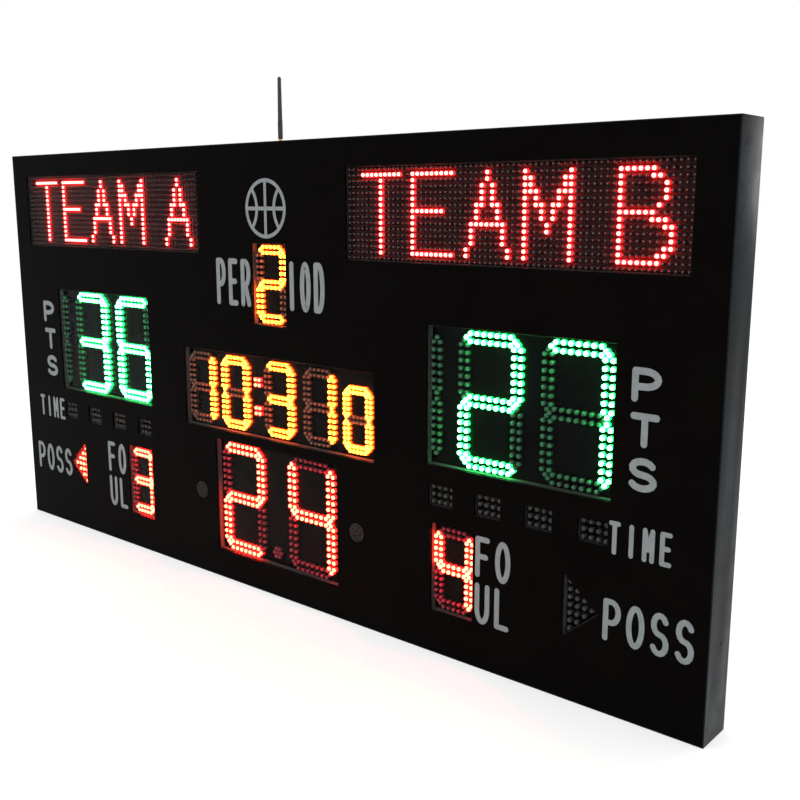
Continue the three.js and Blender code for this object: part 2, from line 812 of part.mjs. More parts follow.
// Raised hanger plates with a keyhole, for screws in a wall.
function hangers() {
  const group = new THREE.Group();
  const web = hangerWeb / 2;
  const foot = web + hangerFoot;
  const t = hangerThickness;
  const hat = [
    [-foot, 0], [-web + t, 0], [-web + t, hangerRise], [web - t, hangerRise], [web - t, 0], [foot, 0],
    [foot, t], [web, t], [web, hangerRise + t], [-web, hangerRise + t], [-web, t], [-foot, t],
  ].map(([x, y]) => new THREE.Vector2(x, y));
  const options = { depth: hangerHeight, bevelEnabled: false };
  const plate = new THREE.ExtrudeGeometry(new THREE.Shape(hat), options);
  plate.translate(0, 0, -hangerHeight / 2);
  const through = [t, hangerRise + t + overrun];
  const keyholeZ = -keyholeLength / 2;
  const hole = round("y", keyholeRadius, through, [0, keyholeZ]);
  const slot = block(span(0, keyholeSlot), through, [keyholeZ, keyholeZ + keyholeLength]);
  const hanger = worked(plate, { cut: [hole, slot] });
  for (const { side, sign } of sides) {
    const place = [sign * (halfWidth - hangerMargin), backY + fit, cabinetHeight - hangerDrop];
    group.add(piece("wall_hanger_" + side, "steel", hanger.clone(), place));
  }
  return group;
}

// Control board on the centre upright, the radio receiver above it and the mains power supply.
function electronics() {
  const group = new THREE.Group();
  const boardStart = mullionBackY + fit + standoffLength;
  const boardEnd = boardStart + boardThickness;
  const flangeX = (mullionWidth - mullionWall) / 2;
  const plate = slab(rectangle(boardWidth, boardHeight), [boardStart, boardEnd]);
  const add = [];
  for (const sign of [-1, 1]) {
    for (const side of [-1, 1]) {
      const post = [boardStart - standoffLength, boardStart + embed / 2];
      const z = (side * standoffSpacing) / 2;
      add.push(round("y", standoffRadius, post, [sign * flangeX, z], smallSides));
    }
    const chipDepth = [boardEnd - embed / 2, boardEnd + chipRise];
    add.push(block(span(sign * chipX, chipWidth), chipDepth, span(0, chipHeight)));
  }
  group.add(piece("control_board", "laminate", worked(plate, { add }), [0, 0, doorZ]));

  const receiverY = [mullionBackY + fit, mullionBackY + fit + receiverDepth];
  const receiverZ = span(cabinetHeight - receiverDrop, receiverHeight);
  const receiver = block(span(0, receiverWidth), receiverY, receiverZ);
  group.add(piece("radio_receiver", "plastic", receiver));

  const supplyY = [mullionBackY + fit, mullionBackY + fit + supplyDepth];
  const supply = block(span(0, supplyWidth), supplyY, span(0, supplyHeight));
  const step = block(
    span(0, supplyWidth + overrun),
    [supplyY[1] - supplyTerminalDepth, supplyY[1] + overrun],
    [-supplyHeight / 2 - overrun, -supplyHeight / 2 + supplyTerminalHeight],
  );
  const supplyCase = worked(supply, { cut: [step] });
  group.add(piece("power_supply", "steel", supplyCase, [mullionX, 0, doorZ]));
  return group;
}

// Mains inlet with a socket below and a rocker switch above, in one housing.
function mainsInlet() {
  const group = new THREE.Group();
  const flangeY = [backY + fit, backY + fit + inletFlangeThickness];
  const flange = slab(rectangle(inletFlangeWidth, inletFlangeHeight), flangeY);
  const bodyY = [flangeY[1] - inletBodyDepth, flangeY[0] + embed];
  const body = slab(rectangle(inletBodyWidth, inletBodyHeight), bodyY);
  const socketY = [flangeY[1] - socketDepth, flangeY[1] + overrun];
  const socket = slab(rectangle(socketWidth, socketHeight, 0, socketZ), socketY);
  const pocketY = [flangeY[1] - rockerPocketDepth, flangeY[1] + overrun];
  const pocket = slab(rectangle(rockerPocketWidth, rockerPocketHeight, 0, rockerZ), pocketY);
  const housing = worked(flange, { add: [body], cut: [socket, pocket] });
  group.add(piece("mains_inlet", "plastic", housing, [inletX, 0, inletZ]));

  const reach = rockerPocketHeight / 2 - 2 * rockerGap;
  const width = rockerPocketWidth - 2 * rockerGap;
  const side = [
    [rockerRise, -reach], [rockerDip, 0], [rockerRise, reach],
    [-rockerBelly / 2, reach - rockerGap], [-rockerBelly, 0], [-rockerBelly / 2, rockerGap - reach],
  ].map(([y, z]) => new THREE.Vector2(y, z));
  const options = { depth: width, bevelEnabled: false };
  const rocker = new THREE.ExtrudeGeometry(new THREE.Shape(side), options);
  rocker.translate(0, 0, -width / 2).rotateY(quarterTurn).rotateX(quarterTurn);
  const button = piece("power_rocker", "plastic", rocker, [inletX, flangeY[1], inletZ + rockerZ]);
  button.rotation.x = rockerTilt * degree;
  group.add(button);
  return group;
}

// Antenna: a threaded bulkhead connector, a sleeve that turns on it, and a whip on an elbow.
function antenna() {
  const group = new THREE.Group();
  const top = cabinetHeight;
  const connector = worked(round("z", connectorRadius, [-connectorTail, connectorHeight], [0, 0]), {
    add: [
      round("z", connectorNutRadius, [fit, fit + connectorNutHeight], [0, 0], holeSides),
      round(
        "z",
        connectorNutRadius,
        [-frameWall - fit - connectorNutHeight, -frameWall - fit],
        [0, 0],
        holeSides,
      ),
    ],
  });
  group.add(piece("antenna_connector", "brass", connector, [0, 0, top]));

  const cheekInner = sleeveRadius - cheekThickness;
  const boreEnd = connectorHeight + fit;
  const sleeve = round("z", sleeveRadius, [sleeveStart, sleeveEnd], [0, 0]);
  const cheekX = sleeveRadius;
  const cheek = round("x", sleeveRadius, [-cheekX, cheekX], [0, elbowHeight]);
  const neck = block([-cheekX, cheekX], span(0, 2 * sleeveRadius), [sleeveEnd - embed, elbowHeight]);
  const barrel = round("z", sleeveRadius, [sleeveEnd - embed, elbowHeight + sleeveRadius], [0, 0]);
  const forkHead = solid(cheek).add(solid(neck)).intersect(solid(barrel));
  const slotX = [-cheekInner, cheekInner];
  const slot = block(slotX, span(0, 2 * (sleeveRadius + overrun)), [
    elbowHeight - sleeveRadius - fit,
    elbowHeight + sleeveRadius + overrun,
  ]);
  const bore = round("z", connectorRadius + fit, [sleeveStart - overrun, boreEnd], [0, 0]);
  const pinX = [embed - cheekX, cheekX - embed];
  const pin = round("x", elbowPinRadius, pinX, [0, elbowHeight], smallSides);
  const fork = solid(sleeve).add(forkHead).subtract(solid(slot));
  const swivel = fork.subtract(solid(bore)).add(solid(pin));
  group.add(piece("antenna_swivel", "plastic", geometryOf(swivel), [0, 0, top]));

  const rodStart = sleeveRadius + elbowGap;
  const rod = round(
    "z",
    whipBaseRadius,
    [rodStart, whipHeight - elbowHeight - whipTipRadius],
    [0, 0],
    roundSides,
    whipTipRadius,
  );
  const end = new THREE.SphereGeometry(whipTipRadius, roundSides, smallSides);
  end.translate(0, 0, whipHeight - elbowHeight - whipTipRadius);
  const tongueX = [-cheekInner + fit, cheekInner - fit];
  const eye = round("x", sleeveRadius - elbowGap, tongueX, [0, 0]);
  const stem = block(tongueX, span(0, 2 * (sleeveRadius - elbowGap)), [0, rodStart + embed]);
  const eyeBore = round("x", elbowPinRadius + fit, [-sleeveRadius, sleeveRadius], [0, 0], smallSides);
  const whip = worked(rod, { add: [end, eye, stem], cut: [eyeBore] });
  group.add(piece("antenna_whip", "plastic", whip, [0, 0, top + elbowHeight]));
  return group;
}

const scoreboard = new THREE.Group();
scoreboard.add(
  frame(),
  cornerBrackets(),
  facePanel(),
  matrixPanels(),
  digitDisplays(),
  timeoutDisplays(),
  possessionArrows(),
  buzzers(),
  mullions(),
  rearPanel(),
  serviceDoor(),
  hangers(),
  electronics(),
  mainsInlet(),
  antenna(),
);

export default scoreboard;
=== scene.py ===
# %% [markdown]
# # An electronic scoreboard for a sports hall
#
# The board is a shallow cabinet of aluminium lengths with a black front sheet. Behind clear windows in
# that sheet lie rows of light-emitting diodes. The construction is fixed already, as a frame of named
# nodes in metres, with +Z up and the front facing -Y. This lesson gives each of them its real surface,
# and adds what is too fine for the frame: the diodes, the print, the screws and the marks.

# %% Load the frame
import math
from contextlib import contextmanager

import bmesh
import bpy
import numpy as np
from mathutils import Matrix, Vector


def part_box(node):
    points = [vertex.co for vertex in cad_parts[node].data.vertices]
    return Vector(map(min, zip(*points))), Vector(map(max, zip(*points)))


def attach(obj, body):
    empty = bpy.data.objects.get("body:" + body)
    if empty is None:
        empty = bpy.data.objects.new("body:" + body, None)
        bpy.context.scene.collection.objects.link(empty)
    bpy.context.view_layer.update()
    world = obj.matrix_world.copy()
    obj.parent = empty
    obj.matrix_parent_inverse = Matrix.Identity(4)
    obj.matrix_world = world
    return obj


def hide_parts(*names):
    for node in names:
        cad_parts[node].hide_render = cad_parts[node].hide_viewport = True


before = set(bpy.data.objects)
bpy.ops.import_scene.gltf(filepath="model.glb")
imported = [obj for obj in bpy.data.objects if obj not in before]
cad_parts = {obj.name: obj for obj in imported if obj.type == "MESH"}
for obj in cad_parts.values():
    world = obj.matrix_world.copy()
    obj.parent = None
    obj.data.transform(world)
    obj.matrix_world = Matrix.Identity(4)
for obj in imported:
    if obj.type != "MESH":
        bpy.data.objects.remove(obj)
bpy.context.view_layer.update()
MM = 0.001
SIDES = (("left", -1), ("right", 1))
HEIGHTS = ("lower", "upper")

# %% [markdown]
# ## The camera
#
# The picture was taken from the right of the board and a little above its middle, close enough for
# strong perspective. A camera that is placed by a real position in metres, and turned by an azimuth and
# an elevation, is easier to correct than one that is dragged into place, so those are the values here.

# %% Place the camera
CAMERA_PLACE = Vector((1.4258, -1.3357, 0.7711))
CAMERA_AZIMUTH = math.radians(40.297)
CAMERA_ELEVATION = math.radians(10.978)
CAMERA_LENS_MM, CAMERA_SENSOR_MM = 45.26, 36
CAMERA_CLIP_START = 0.01

look = Vector((
    -math.sin(CAMERA_AZIMUTH) * math.cos(CAMERA_ELEVATION),
    math.cos(CAMERA_AZIMUTH) * math.cos(CAMERA_ELEVATION),
    -math.sin(CAMERA_ELEVATION),
))
turn = look.to_track_quat("-Z", "Y").to_euler()
bpy.ops.object.camera_add(location=CAMERA_PLACE, rotation=turn)
camera = bpy.context.object
camera.name = "photo_camera"
camera.data.lens = CAMERA_LENS_MM
camera.data.sensor_width = CAMERA_SENSOR_MM
camera.data.clip_start = CAMERA_CLIP_START
bpy.context.scene.camera = camera
bpy.context.scene.view_settings.view_transform = "Standard"
print("camera at", tuple(round(v, 3) for v in CAMERA_PLACE))

# %% [markdown]
# ## Small helpers
#
# Colours are written as the hex values that a colour picker shows, which are sRGB. Blender's sockets
# want linear light, so one function converts them. Another adds a shader node with its settings and
# links, so that a material reads as a short list.

# %% Colour and node helpers
def linear(code):
    """Linear RGBA of an sRGB hex colour."""
    parts = [int(code[i:i + 2], 16) / 255 for i in (1, 3, 5)]
    return [p / 12.92 if p <= 0.04045 else ((p + 0.055) / 1.055) ** 2.4 for p in parts] + [1.0]


def add(tree, kind, links=None, **settings):
    """Adds one node, sets its own settings, and fills or links its inputs by name or number."""
    made = tree.nodes.new(kind)
    for name, value in settings.items():
        setattr(made, name, value)
    for name, value in (links or {}).items():
        if isinstance(value, bpy.types.NodeSocket):
            tree.links.new(value, made.inputs[name])
        else:
            made.inputs[name].default_value = value
    return made


def material(name):
    """An empty material and its node tree."""
    made = bpy.data.materials.new(name)
    made.use_nodes = True
    made.node_tree.nodes.clear()
    return made, made.node_tree


def per_mm(size_mm):
    """Noise scale on Object coordinates, in metres, for features of a size in millimetres."""
    return 1 / (size_mm * MM)


RELIEF_DETAIL, PATCH_DETAIL = 2.0, 3.0
NOISE_LOW, NOISE_HIGH = 0.3, 0.7


def relief(tree, size_mm, height_mm):
    """Normal of a fine random relief whose bumps have a size and a height in millimetres."""
    place = add(tree, "ShaderNodeTexCoord").outputs["Object"]
    grain = {"Vector": place, "Scale": per_mm(size_mm), "Detail": RELIEF_DETAIL}
    noise = add(tree, "ShaderNodeTexNoise", grain)
    bump = add(tree, "ShaderNodeBump", {"Height": noise.outputs["Fac"], "Distance": height_mm * MM})
    return bump.outputs["Normal"]


def patches(tree, size_mm, low, high):
    """A slow random value in patches of a size in millimetres. The noise seldom leaves the range from
    NOISE_LOW to NOISE_HIGH, which is spread to the range from low to high."""
    place = add(tree, "ShaderNodeTexCoord").outputs["Object"]
    grain = {"Vector": place, "Scale": per_mm(size_mm), "Detail": PATCH_DETAIL}
    noise = add(tree, "ShaderNodeTexNoise", grain)
    spread = {"From Min": NOISE_LOW, "From Max": NOISE_HIGH, "To Min": low, "To Max": high}
    return add(tree, "ShaderNodeMapRange", {"Value": noise.outputs["Fac"], **spread}).outputs["Result"]


def mottled(tree, first, second, size_mm, most=1.0):
    """A colour that drifts from one hex colour towards another in patches of a size in millimetres."""
    drift = {0: patches(tree, size_mm, 0, most), 6: linear(first), 7: linear(second)}
    return add(tree, "ShaderNodeMix", drift, data_type="RGBA").outputs[2]


# %% [markdown]
# Modelling follows the hand's order: add a primitive at its size and place, go into edit mode, pick
# faces or edges, push or inset them, and come out. These helpers do the picking, because code can't
# click. Every finished piece keeps its place in its mesh and its object at the origin.

# %% Modelling helpers
def only(piece):
    """Makes one object the only selected and the active one."""
    bpy.ops.object.select_all(action="DESELECT")
    piece.select_set(True)
    bpy.context.view_layer.objects.active = piece


@contextmanager
def editing(piece, element="FACE"):
    """Edit mode on one piece with nothing selected."""
    only(piece)
    bpy.ops.object.mode_set(mode="EDIT")
    bpy.ops.mesh.select_mode(type=element)
    bpy.ops.mesh.select_all(action="DESELECT")
    yield
    bpy.ops.object.mode_set(mode="OBJECT")


def pick_faces(piece, test):
    """Selects, in edit mode, the faces whose middle and normal pass the test."""
    mesh = bmesh.from_edit_mesh(piece.data)
    for face in mesh.faces:
        face.select_set(bool(test(face.calc_center_median(), face.normal)))
    bmesh.update_edit_mesh(piece.data)


FLATNESS, WALL_FLATNESS = 0.9, 0.5
NEAR = 0.1 * MM


def towards_front(middle, normal):
    """Whether a face looks along -Y, which is out of the front."""
    return normal.y < -FLATNESS


def towards_back(middle, normal):
    """Whether a face looks along +Y."""
    return normal.y > FLATNESS


def settle(piece):
    """Moves an object's place, turn and scale into its mesh."""
    only(piece)
    bpy.ops.object.transform_apply(location=True, rotation=True, scale=True)
    return piece


def block(name, low, high):
    """A cube primitive stretched between two corners."""
    low, high = Vector(low), Vector(high)
    bpy.ops.object.select_all(action="DESELECT")
    bpy.ops.mesh.primitive_cube_add(size=1, location=(low + high) / 2, scale=high - low)
    piece = bpy.context.object
    piece.name = name
    return settle(piece)


AXIS_TURNS = {"x": (0, math.pi / 2, 0), "y": (math.pi / 2, 0, 0)}


def rod(name, radius, start, end, sides, axis="y"):
    """A cylinder primitive between two points that differ along one axis."""
    start, end = Vector(start), Vector(end)
    depth = (end - start).length
    middle = (start + end) / 2
    bpy.ops.object.select_all(action="DESELECT")
    bpy.ops.mesh.primitive_cylinder_add(
        vertices=sides, radius=radius, depth=depth, location=middle, rotation=AXIS_TURNS[axis]
    )
    piece = bpy.context.object
    piece.name = name
    return settle(piece)


def use(piece, kind, **settings):
    """Adds a modifier with its settings and applies it."""
    only(piece)
    modifier = piece.modifiers.new(kind.lower(), kind)
    for name, value in settings.items():
        setattr(modifier, name, value)
    bpy.ops.object.modifier_apply(modifier=modifier.name)
    return piece


SHARP_ANGLE, SMOOTH_ANGLE = math.radians(35), math.radians(50)
FULL_WEIGHT = 100


def soften(piece, width_mm, segments=2):
    """Rounds the sharp edges by a width. The large flat faces keep their own normals."""
    sharp = {"limit_method": "ANGLE", "angle_limit": SHARP_ANGLE}
    use(piece, "BEVEL", width=width_mm * MM, segments=segments, **sharp)
    bpy.ops.object.shade_smooth_by_angle(angle=SMOOTH_ANGLE)
    return use(piece, "WEIGHTED_NORMAL", keep_sharp=True, weight=FULL_WEIGHT)


def pull(distance):
    """Pulls the selected faces out towards the front, or towards the back by a negative distance."""
    bpy.ops.mesh.extrude_region_move(TRANSFORM_OT_translate={"value": (0, -distance, 0)})


def sink(distance):
    """Pushes the selected faces towards the back, which walls in a recess."""
    pull(-distance)


def face_outwards():
    """Turns all the faces of a closed piece outwards, in edit mode."""
    bpy.ops.mesh.select_all(action="SELECT")
    bpy.ops.mesh.normals_make_consistent(inside=False)


def cut(piece, tool):
    """Cuts the tool's shape out of the piece and throws the tool away."""
    use(piece, "BOOLEAN", object=tool, operation="DIFFERENCE", solver="EXACT")
    bpy.data.objects.remove(tool)


def join(name, parts):
    """Joins several objects into one piece."""
    bpy.ops.object.select_all(action="DESELECT")
    for part in parts:
        part.select_set(True)
    bpy.context.view_layer.objects.active = parts[0]
    bpy.ops.object.join()
    parts[0].name = name
    return parts[0]


def twin(piece, name, move=(0, 0, 0), turn=None):
    """A copy with a mesh of its own, turned about the origin and then moved."""
    made = bpy.data.objects.new(name, piece.data.copy())
    bpy.context.collection.objects.link(made)
    made.data.transform(Matrix.Translation(Vector(move)) @ (turn or Matrix.Identity(4)))
    return made


def dress(piece, *materials):
    """Gives a piece its materials in the order of its slots."""
    piece.data.materials.clear()
    for one in materials:
        piece.data.materials.append(one)
    return piece


def fix(piece, body="cabinet", replaces=()):
    """Fastens a piece to a body and hides the nodes that it stands for."""
    piece.data.name = piece.name
    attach(piece, body)
    if replaces:
        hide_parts(*replaces)
    return piece


MERGE_DISTANCE, MERGE_ANGLE = 0.01 * MM, math.radians(1)


def refined(node, edge_mm, segments=2):
    """A merged copy of a node's mesh with flat faces joined and its sharp edges rounded."""
    piece = bpy.data.objects.new(node + "_finished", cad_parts[node].data.copy())
    bpy.context.collection.objects.link(piece)
    only(piece)
    bpy.ops.mesh.customdata_custom_splitnormals_clear()
    with editing(piece, "VERT"):
        bpy.ops.mesh.select_all(action="SELECT")
        bpy.ops.mesh.remove_doubles(threshold=MERGE_DISTANCE)
        bpy.ops.mesh.dissolve_limited(angle_limit=MERGE_ANGLE)
    return soften(piece, edge_mm, segments)


def finished(node, surface, body="cabinet", edge_mm=0.25, segments=2):
    """Refines a node, dresses it in one material and lets it stand for the node."""
    return fix(dress(refined(node, edge_mm, segments), surface), body, replaces=[node])


# %% [markdown]
# ## Floor and light
#
# The board stands on a pale floor in soft, even light. Three large lamps and a grey world light it at a
# level at which a colour looks about as it is written. A fourth, small lamp behind the right-hand side
# draws a soft sheen down that side. Only the camera, mirrors and glass see the floor and the world as
# white: that white comes from the kind of ray, so it adds no light to the board, and the floor keeps
# the board's shadow.

# %% Make the floor
FLOOR_SIZE = 60
FLOOR_DROP = 0.2 * MM
FLOOR_OWN_LIGHT = 0.46
bpy.ops.object.select_all(action="DESELECT")
bpy.ops.mesh.primitive_plane_add(size=FLOOR_SIZE, location=(0, 0, -FLOOR_DROP))
floor = bpy.context.object
floor.name = "studio_floor"


def looked_at(tree):
    """1 where the camera, a mirror or glass looks, and 0 for the light that falls on the board."""
    path = add(tree, "ShaderNodeLightPath").outputs
    seen = {0: path["Is Camera Ray"], 1: path["Is Glossy Ray"]}
    seen = add(tree, "ShaderNodeMath", seen, operation="MAXIMUM").outputs[0]
    through = {0: seen, 1: path["Is Transmission Ray"]}
    return add(tree, "ShaderNodeMath", through, operation="MAXIMUM").outputs[0]


floor_paint, tree = material("pale_floor_paint")
own_light = add(tree, "ShaderNodeMath", {0: looked_at(tree), 1: FLOOR_OWN_LIGHT}, operation="MULTIPLY")
paint = add(tree, "ShaderNodeBsdfPrincipled", {
    "Base Color": linear("#e4e4e4"), "Roughness": 0.9, "Specular IOR Level": 0.1,
    "Emission Color": linear("#ffffff"), "Emission Strength": own_light.outputs[0],
})
add(tree, "ShaderNodeOutputMaterial", {"Surface": paint.outputs[0]})
dress(floor, floor_paint)

# %% Make the world and the lamps
WORLD_LIGHT, WORLD_SEEN = 0.72, 1.0

world = bpy.data.worlds.new("studio_world")
bpy.context.scene.world = world
world.use_nodes = True
tree = world.node_tree
tree.nodes.clear()
grey = add(tree, "ShaderNodeBackground", {"Color": linear("#ffffff"), "Strength": WORLD_LIGHT})
white = add(tree, "ShaderNodeBackground", {"Color": linear("#ffffff"), "Strength": WORLD_SEEN})
both = add(tree, "ShaderNodeMixShader", {0: looked_at(tree), 1: grey.outputs[0], 2: white.outputs[0]})
add(tree, "ShaderNodeOutputWorld", {"Surface": both.outputs[0]})


def soft_lamp(name, place, target, size, power):
    """A square area lamp that faces a point, with its power in watts."""
    aim = (Vector(target) - Vector(place)).to_track_quat("-Z", "Y").to_euler()
    bpy.ops.object.light_add(type="AREA", location=place, rotation=aim)
    lamp = bpy.context.object
    lamp.name = name
    lamp.data.shape = "SQUARE"
    lamp.data.size = size
    lamp.data.energy = power


MIDDLE = (0, 0, 0.45)
RIGHT_END = (0.9, 0, 0.8)
soft_lamp("key_lamp", (-2.4, -3.4, 3.6), MIDDLE, 2.6, 45)
soft_lamp("fill_lamp", (3.4, -2.2, 2.8), MIDDLE, 2.2, 20)
soft_lamp("back_lamp", (-0.6, 3.6, 3.2), MIDDLE, 2.6, 30)
soft_lamp("side_lamp", (1.95, 2.6, 1.25), RIGHT_END, 0.6, 14)

# %% [markdown]
# ## The frame
#
# The frame is extruded aluminium, sprayed with black powder and baked. Powder coat flows into a skin
# with a fine orange peel, satin rather than glossy, black but never as deep as the front sheet. The
# nodes have the right section, but their edges are knife sharp, so merged copies get small radii.

# %% Powder coat
powder_coat, tree = material("black_powder_coat")
shader = add(tree, "ShaderNodeBsdfPrincipled", {
    "Base Color": mottled(tree, "#14191c", "#1a2024", 60),
    "Roughness": patches(tree, 35, 0.24, 0.36),
    "Normal": relief(tree, 1.4, 0.012),
    "IOR": 1.5, "Specular IOR Level": 0.03,
})
add(tree, "ShaderNodeOutputMaterial", {"Surface": shader.outputs[0]})

# %% [markdown]
# One screw is modelled and every other is a copy. Its head starts as a cylinder whose front face is
# pulled out twice while it shrinks, and two small blocks cut the cross for the driver. The steel is
# blackened in a hot salt bath, which leaves a dark metal that still gleams softly, a little uneven.

# %% Blackened steel and the screw
black_steel, tree = material("blackened_steel")
shader = add(tree, "ShaderNodeBsdfPrincipled", {
    "Base Color": mottled(tree, "#2b2c2e", "#3a3b3d", 1.5), "Metallic": 1.0,
    "Roughness": 0.38,
})
add(tree, "ShaderNodeOutputMaterial", {"Surface": shader.outputs[0]})

HEAD_SIDES = 16
HEAD_STRAIGHT = 0.5
HEAD_STEPS = ((0.32, 0.84), (0.18, 0.7))
HEAD_SMOOTH_ANGLE = math.radians(40)
CROSS_WIDTH, CROSS_LENGTH, CROSS_DEPTH = 0.26, 1.15, 0.55


def cross_screw(name, radius, height):
    """A pan head with a cross recess, its seat at the origin and its top towards -Y."""
    head = rod(name, radius, (0, 0, 0), (0, -HEAD_STRAIGHT * height, 0), HEAD_SIDES)
    with editing(head):
        pick_faces(head, towards_front)
        for rise, shrink in HEAD_STEPS:
            pull(rise * height)
            bpy.ops.transform.resize(value=(shrink, 1, shrink))
    for across, up in ((CROSS_LENGTH, CROSS_WIDTH), (CROSS_WIDTH, CROSS_LENGTH)):
        low = (-across * radius / 2, -2 * height, -up * radius / 2)
        high = (across * radius / 2, (CROSS_DEPTH - 1) * height, up * radius / 2)
        cut(head, block("cross", low, high))
    only(head)
    bpy.ops.object.shade_smooth_by_angle(angle=HEAD_SMOOTH_ANGLE)
    return head


FACING = {
    "back": Matrix.Rotation(math.pi, 4, "Z"),
    "right": Matrix.Rotation(math.pi / 2, 4, "Z"),
    "left": Matrix.Rotation(-math.pi / 2, 4, "Z"),
}


def screws(name, master, places, facing, finish, body="cabinet"):
    """Copies of one screw at several places, as one piece."""
    copies = [twin(master, name, place, FACING[facing]) for place in places]
    fix(dress(join(name, copies), finish), body)


# %% [markdown]
# In the sides of the frame the screws sit in counterbores, so that their heads end flush.

# %% Finish the frame
FRAME_EDGE_MM = 0.5
SIDE_SCREW_RADIUS = 3.2 * MM
SIDE_SCREW_HEIGHT = 1.6 * MM
SIDE_SCREW_RISES = (550 * MM, 150 * MM)
SIDE_RECESS = 0.15 * MM
BORE_SIDES = 24

for name in ("frame_top", "frame_bottom"):
    finished(name, powder_coat, edge_mm=FRAME_EDGE_MM)

side_screw = cross_screw("side_screw", SIDE_SCREW_RADIUS, SIDE_SCREW_HEIGHT)
for side, sign in SIDES:
    name = "frame_" + side
    member = refined(name, FRAME_EDGE_MM)
    low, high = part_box(name)
    outer = high.x if sign > 0 else low.x
    seats = [(outer - sign * (SIDE_SCREW_HEIGHT + SIDE_RECESS), 0, z) for z in SIDE_SCREW_RISES]
    for seat in seats:
        end = (outer + sign * SIDE_SCREW_HEIGHT, 0, seat[2])
        cut(member, rod("bore", SIDE_SCREW_RADIUS + SIDE_RECESS, seat, end, BORE_SIDES, "x"))
    fix(dress(member, powder_coat), replaces=[name])
    screws("side_screws_" + side, side_screw, seats, side, black_steel)
bpy.data.objects.remove(side_screw)
print("frame pieces", 4, "side screws", 2 * len(SIDE_SCREW_RISES))

# %% [markdown]
# ## The front sheet
#
# The front is one sheet of black acrylic with a fine matt face, cut out for every window. It must stay
# near black under studio light, so its mirror is weak and spread by the matt face.

# %% Matt black acrylic
black_acrylic, tree = material("matt_black_acrylic")
shader = add(tree, "ShaderNodeBsdfPrincipled", {
    "Base Color": mottled(tree, "#080606", "#0a0908", 90),
    "Roughness": patches(tree, 50, 0.32, 0.4),
    "Normal": relief(tree, 0.9, 0.004),
    "IOR": 1.49, "Specular IOR Level": 0.01,
})
add(tree, "ShaderNodeOutputMaterial", {"Surface": shader.outputs[0]})

finished("face_panel", black_acrylic, edge_mm=0.35)
FACE_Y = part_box("face_panel")[0].y
print("front sheet face at", round(FACE_Y / MM, 2), "mm")

# %% [markdown]
# ## Windows
#
# Each opening is closed by a clear acrylic window flush with the sheet. A pane that bends light would
# hide the diodes from the lamps, so the pane is a clear shader with a faint mirror that grows towards
# glancing angles, which is what thin clear acrylic does.

# %% Clear acrylic
WINDOW_IOR = 1.04
clear_acrylic, tree = material("clear_acrylic_window")
fresnel = add(tree, "ShaderNodeFresnel", {"IOR": WINDOW_IOR})
clear = add(tree, "ShaderNodeBsdfTransparent", {"Color": (0.97, 0.97, 0.97, 1)})
mirror = add(tree, "ShaderNodeBsdfAnisotropic", {"Roughness": 0.04, "Color": (1, 1, 1, 1)})
pane = add(tree, "ShaderNodeMixShader", {0: fresnel.outputs[0], 1: clear.outputs[0], 2: mirror.outputs[0]})
add(tree, "ShaderNodeOutputMaterial", {"Surface": pane.outputs[0]})

windows = sorted(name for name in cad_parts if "window" in name)
for name in windows:
    finished(name, clear_acrylic)
print("windows", len(windows))

# %% [markdown]
# ## Trays and boards
#
# Behind each window sits a moulded black tray whose recess holds a circuit board. The tray is a block
# whose front face is inset by the rim and pushed back. The walls of the recess are sprayed matt grey, so
# that they take on the colour of the lit diodes beside them. The board is a thin plate in the recess,
# coated with glossy black solder mask.

# %% Tray and board materials
black_abs, tree = material("black_moulded_abs")
shader = add(tree, "ShaderNodeBsdfPrincipled", {
    "Base Color": mottled(tree, "#272727", "#313131", 40),
    "Roughness": patches(tree, 20, 0.38, 0.5),
    "Normal": relief(tree, 0.7, 0.01),
    "Specular IOR Level": 0.05,
})
add(tree, "ShaderNodeOutputMaterial", {"Surface": shader.outputs[0]})

grey_lacquer, tree = material("matt_grey_lacquer")
shader = add(tree, "ShaderNodeBsdfPrincipled", {
    "Base Color": mottled(tree, "#4a4848", "#565454", 12), "Roughness": 0.6,
    "Normal": relief(tree, 0.8, 0.01), "Specular IOR Level": 0.1,
})
add(tree, "ShaderNodeOutputMaterial", {"Surface": shader.outputs[0]})

solder_mask, tree = material("black_solder_mask")
shader = add(tree, "ShaderNodeBsdfPrincipled", {
    "Base Color": mottled(tree, "#050706", "#0a0c0b", 30),
    "Roughness": 0.1, "IOR": 1.1,
})
add(tree, "ShaderNodeOutputMaterial", {"Surface": shader.outputs[0]})

# %% Make the trays
DIODE_HEIGHT = 8.5 * MM
TRAY_LIP = 6.5 * MM
BOARD_THICKNESS = 1.6 * MM
BOARD_GAP = 0.3 * MM
TIP_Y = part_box("matrix_module_left_1")[0].y
BOARD_Y = TIP_Y + DIODE_HEIGHT
TRAY_FLOOR_Y = BOARD_Y + BOARD_THICKNESS


def tray(node, start):
    """Turns a solid with the node's outline into a tray with a recess."""
    low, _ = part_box(node)
    with editing(start):
        pick_faces(start, towards_front)
        bpy.ops.mesh.inset(thickness=TRAY_LIP, use_even_offset=True)
        sink(TRAY_FLOOR_Y - low.y)
    dress(soften(start, 0.5), black_abs, grey_lacquer)
    for face in start.data.polygons:
        face.material_index = int(abs(face.normal.y) < WALL_FLATNESS and face.center.y > low.y + MM)
    fix(start, replaces=[node])


def board(name, low_x, high_x, low_z, high_z):
    """A circuit board in the bottom of a recess."""
    low = (low_x + BOARD_GAP, BOARD_Y, low_z + BOARD_GAP)
    high = (high_x - BOARD_GAP, TRAY_FLOOR_Y - BOARD_GAP, high_z - BOARD_GAP)
    plate = soften(block(name, low, high), 0.15, 1)
    return fix(dress(plate, solder_mask))


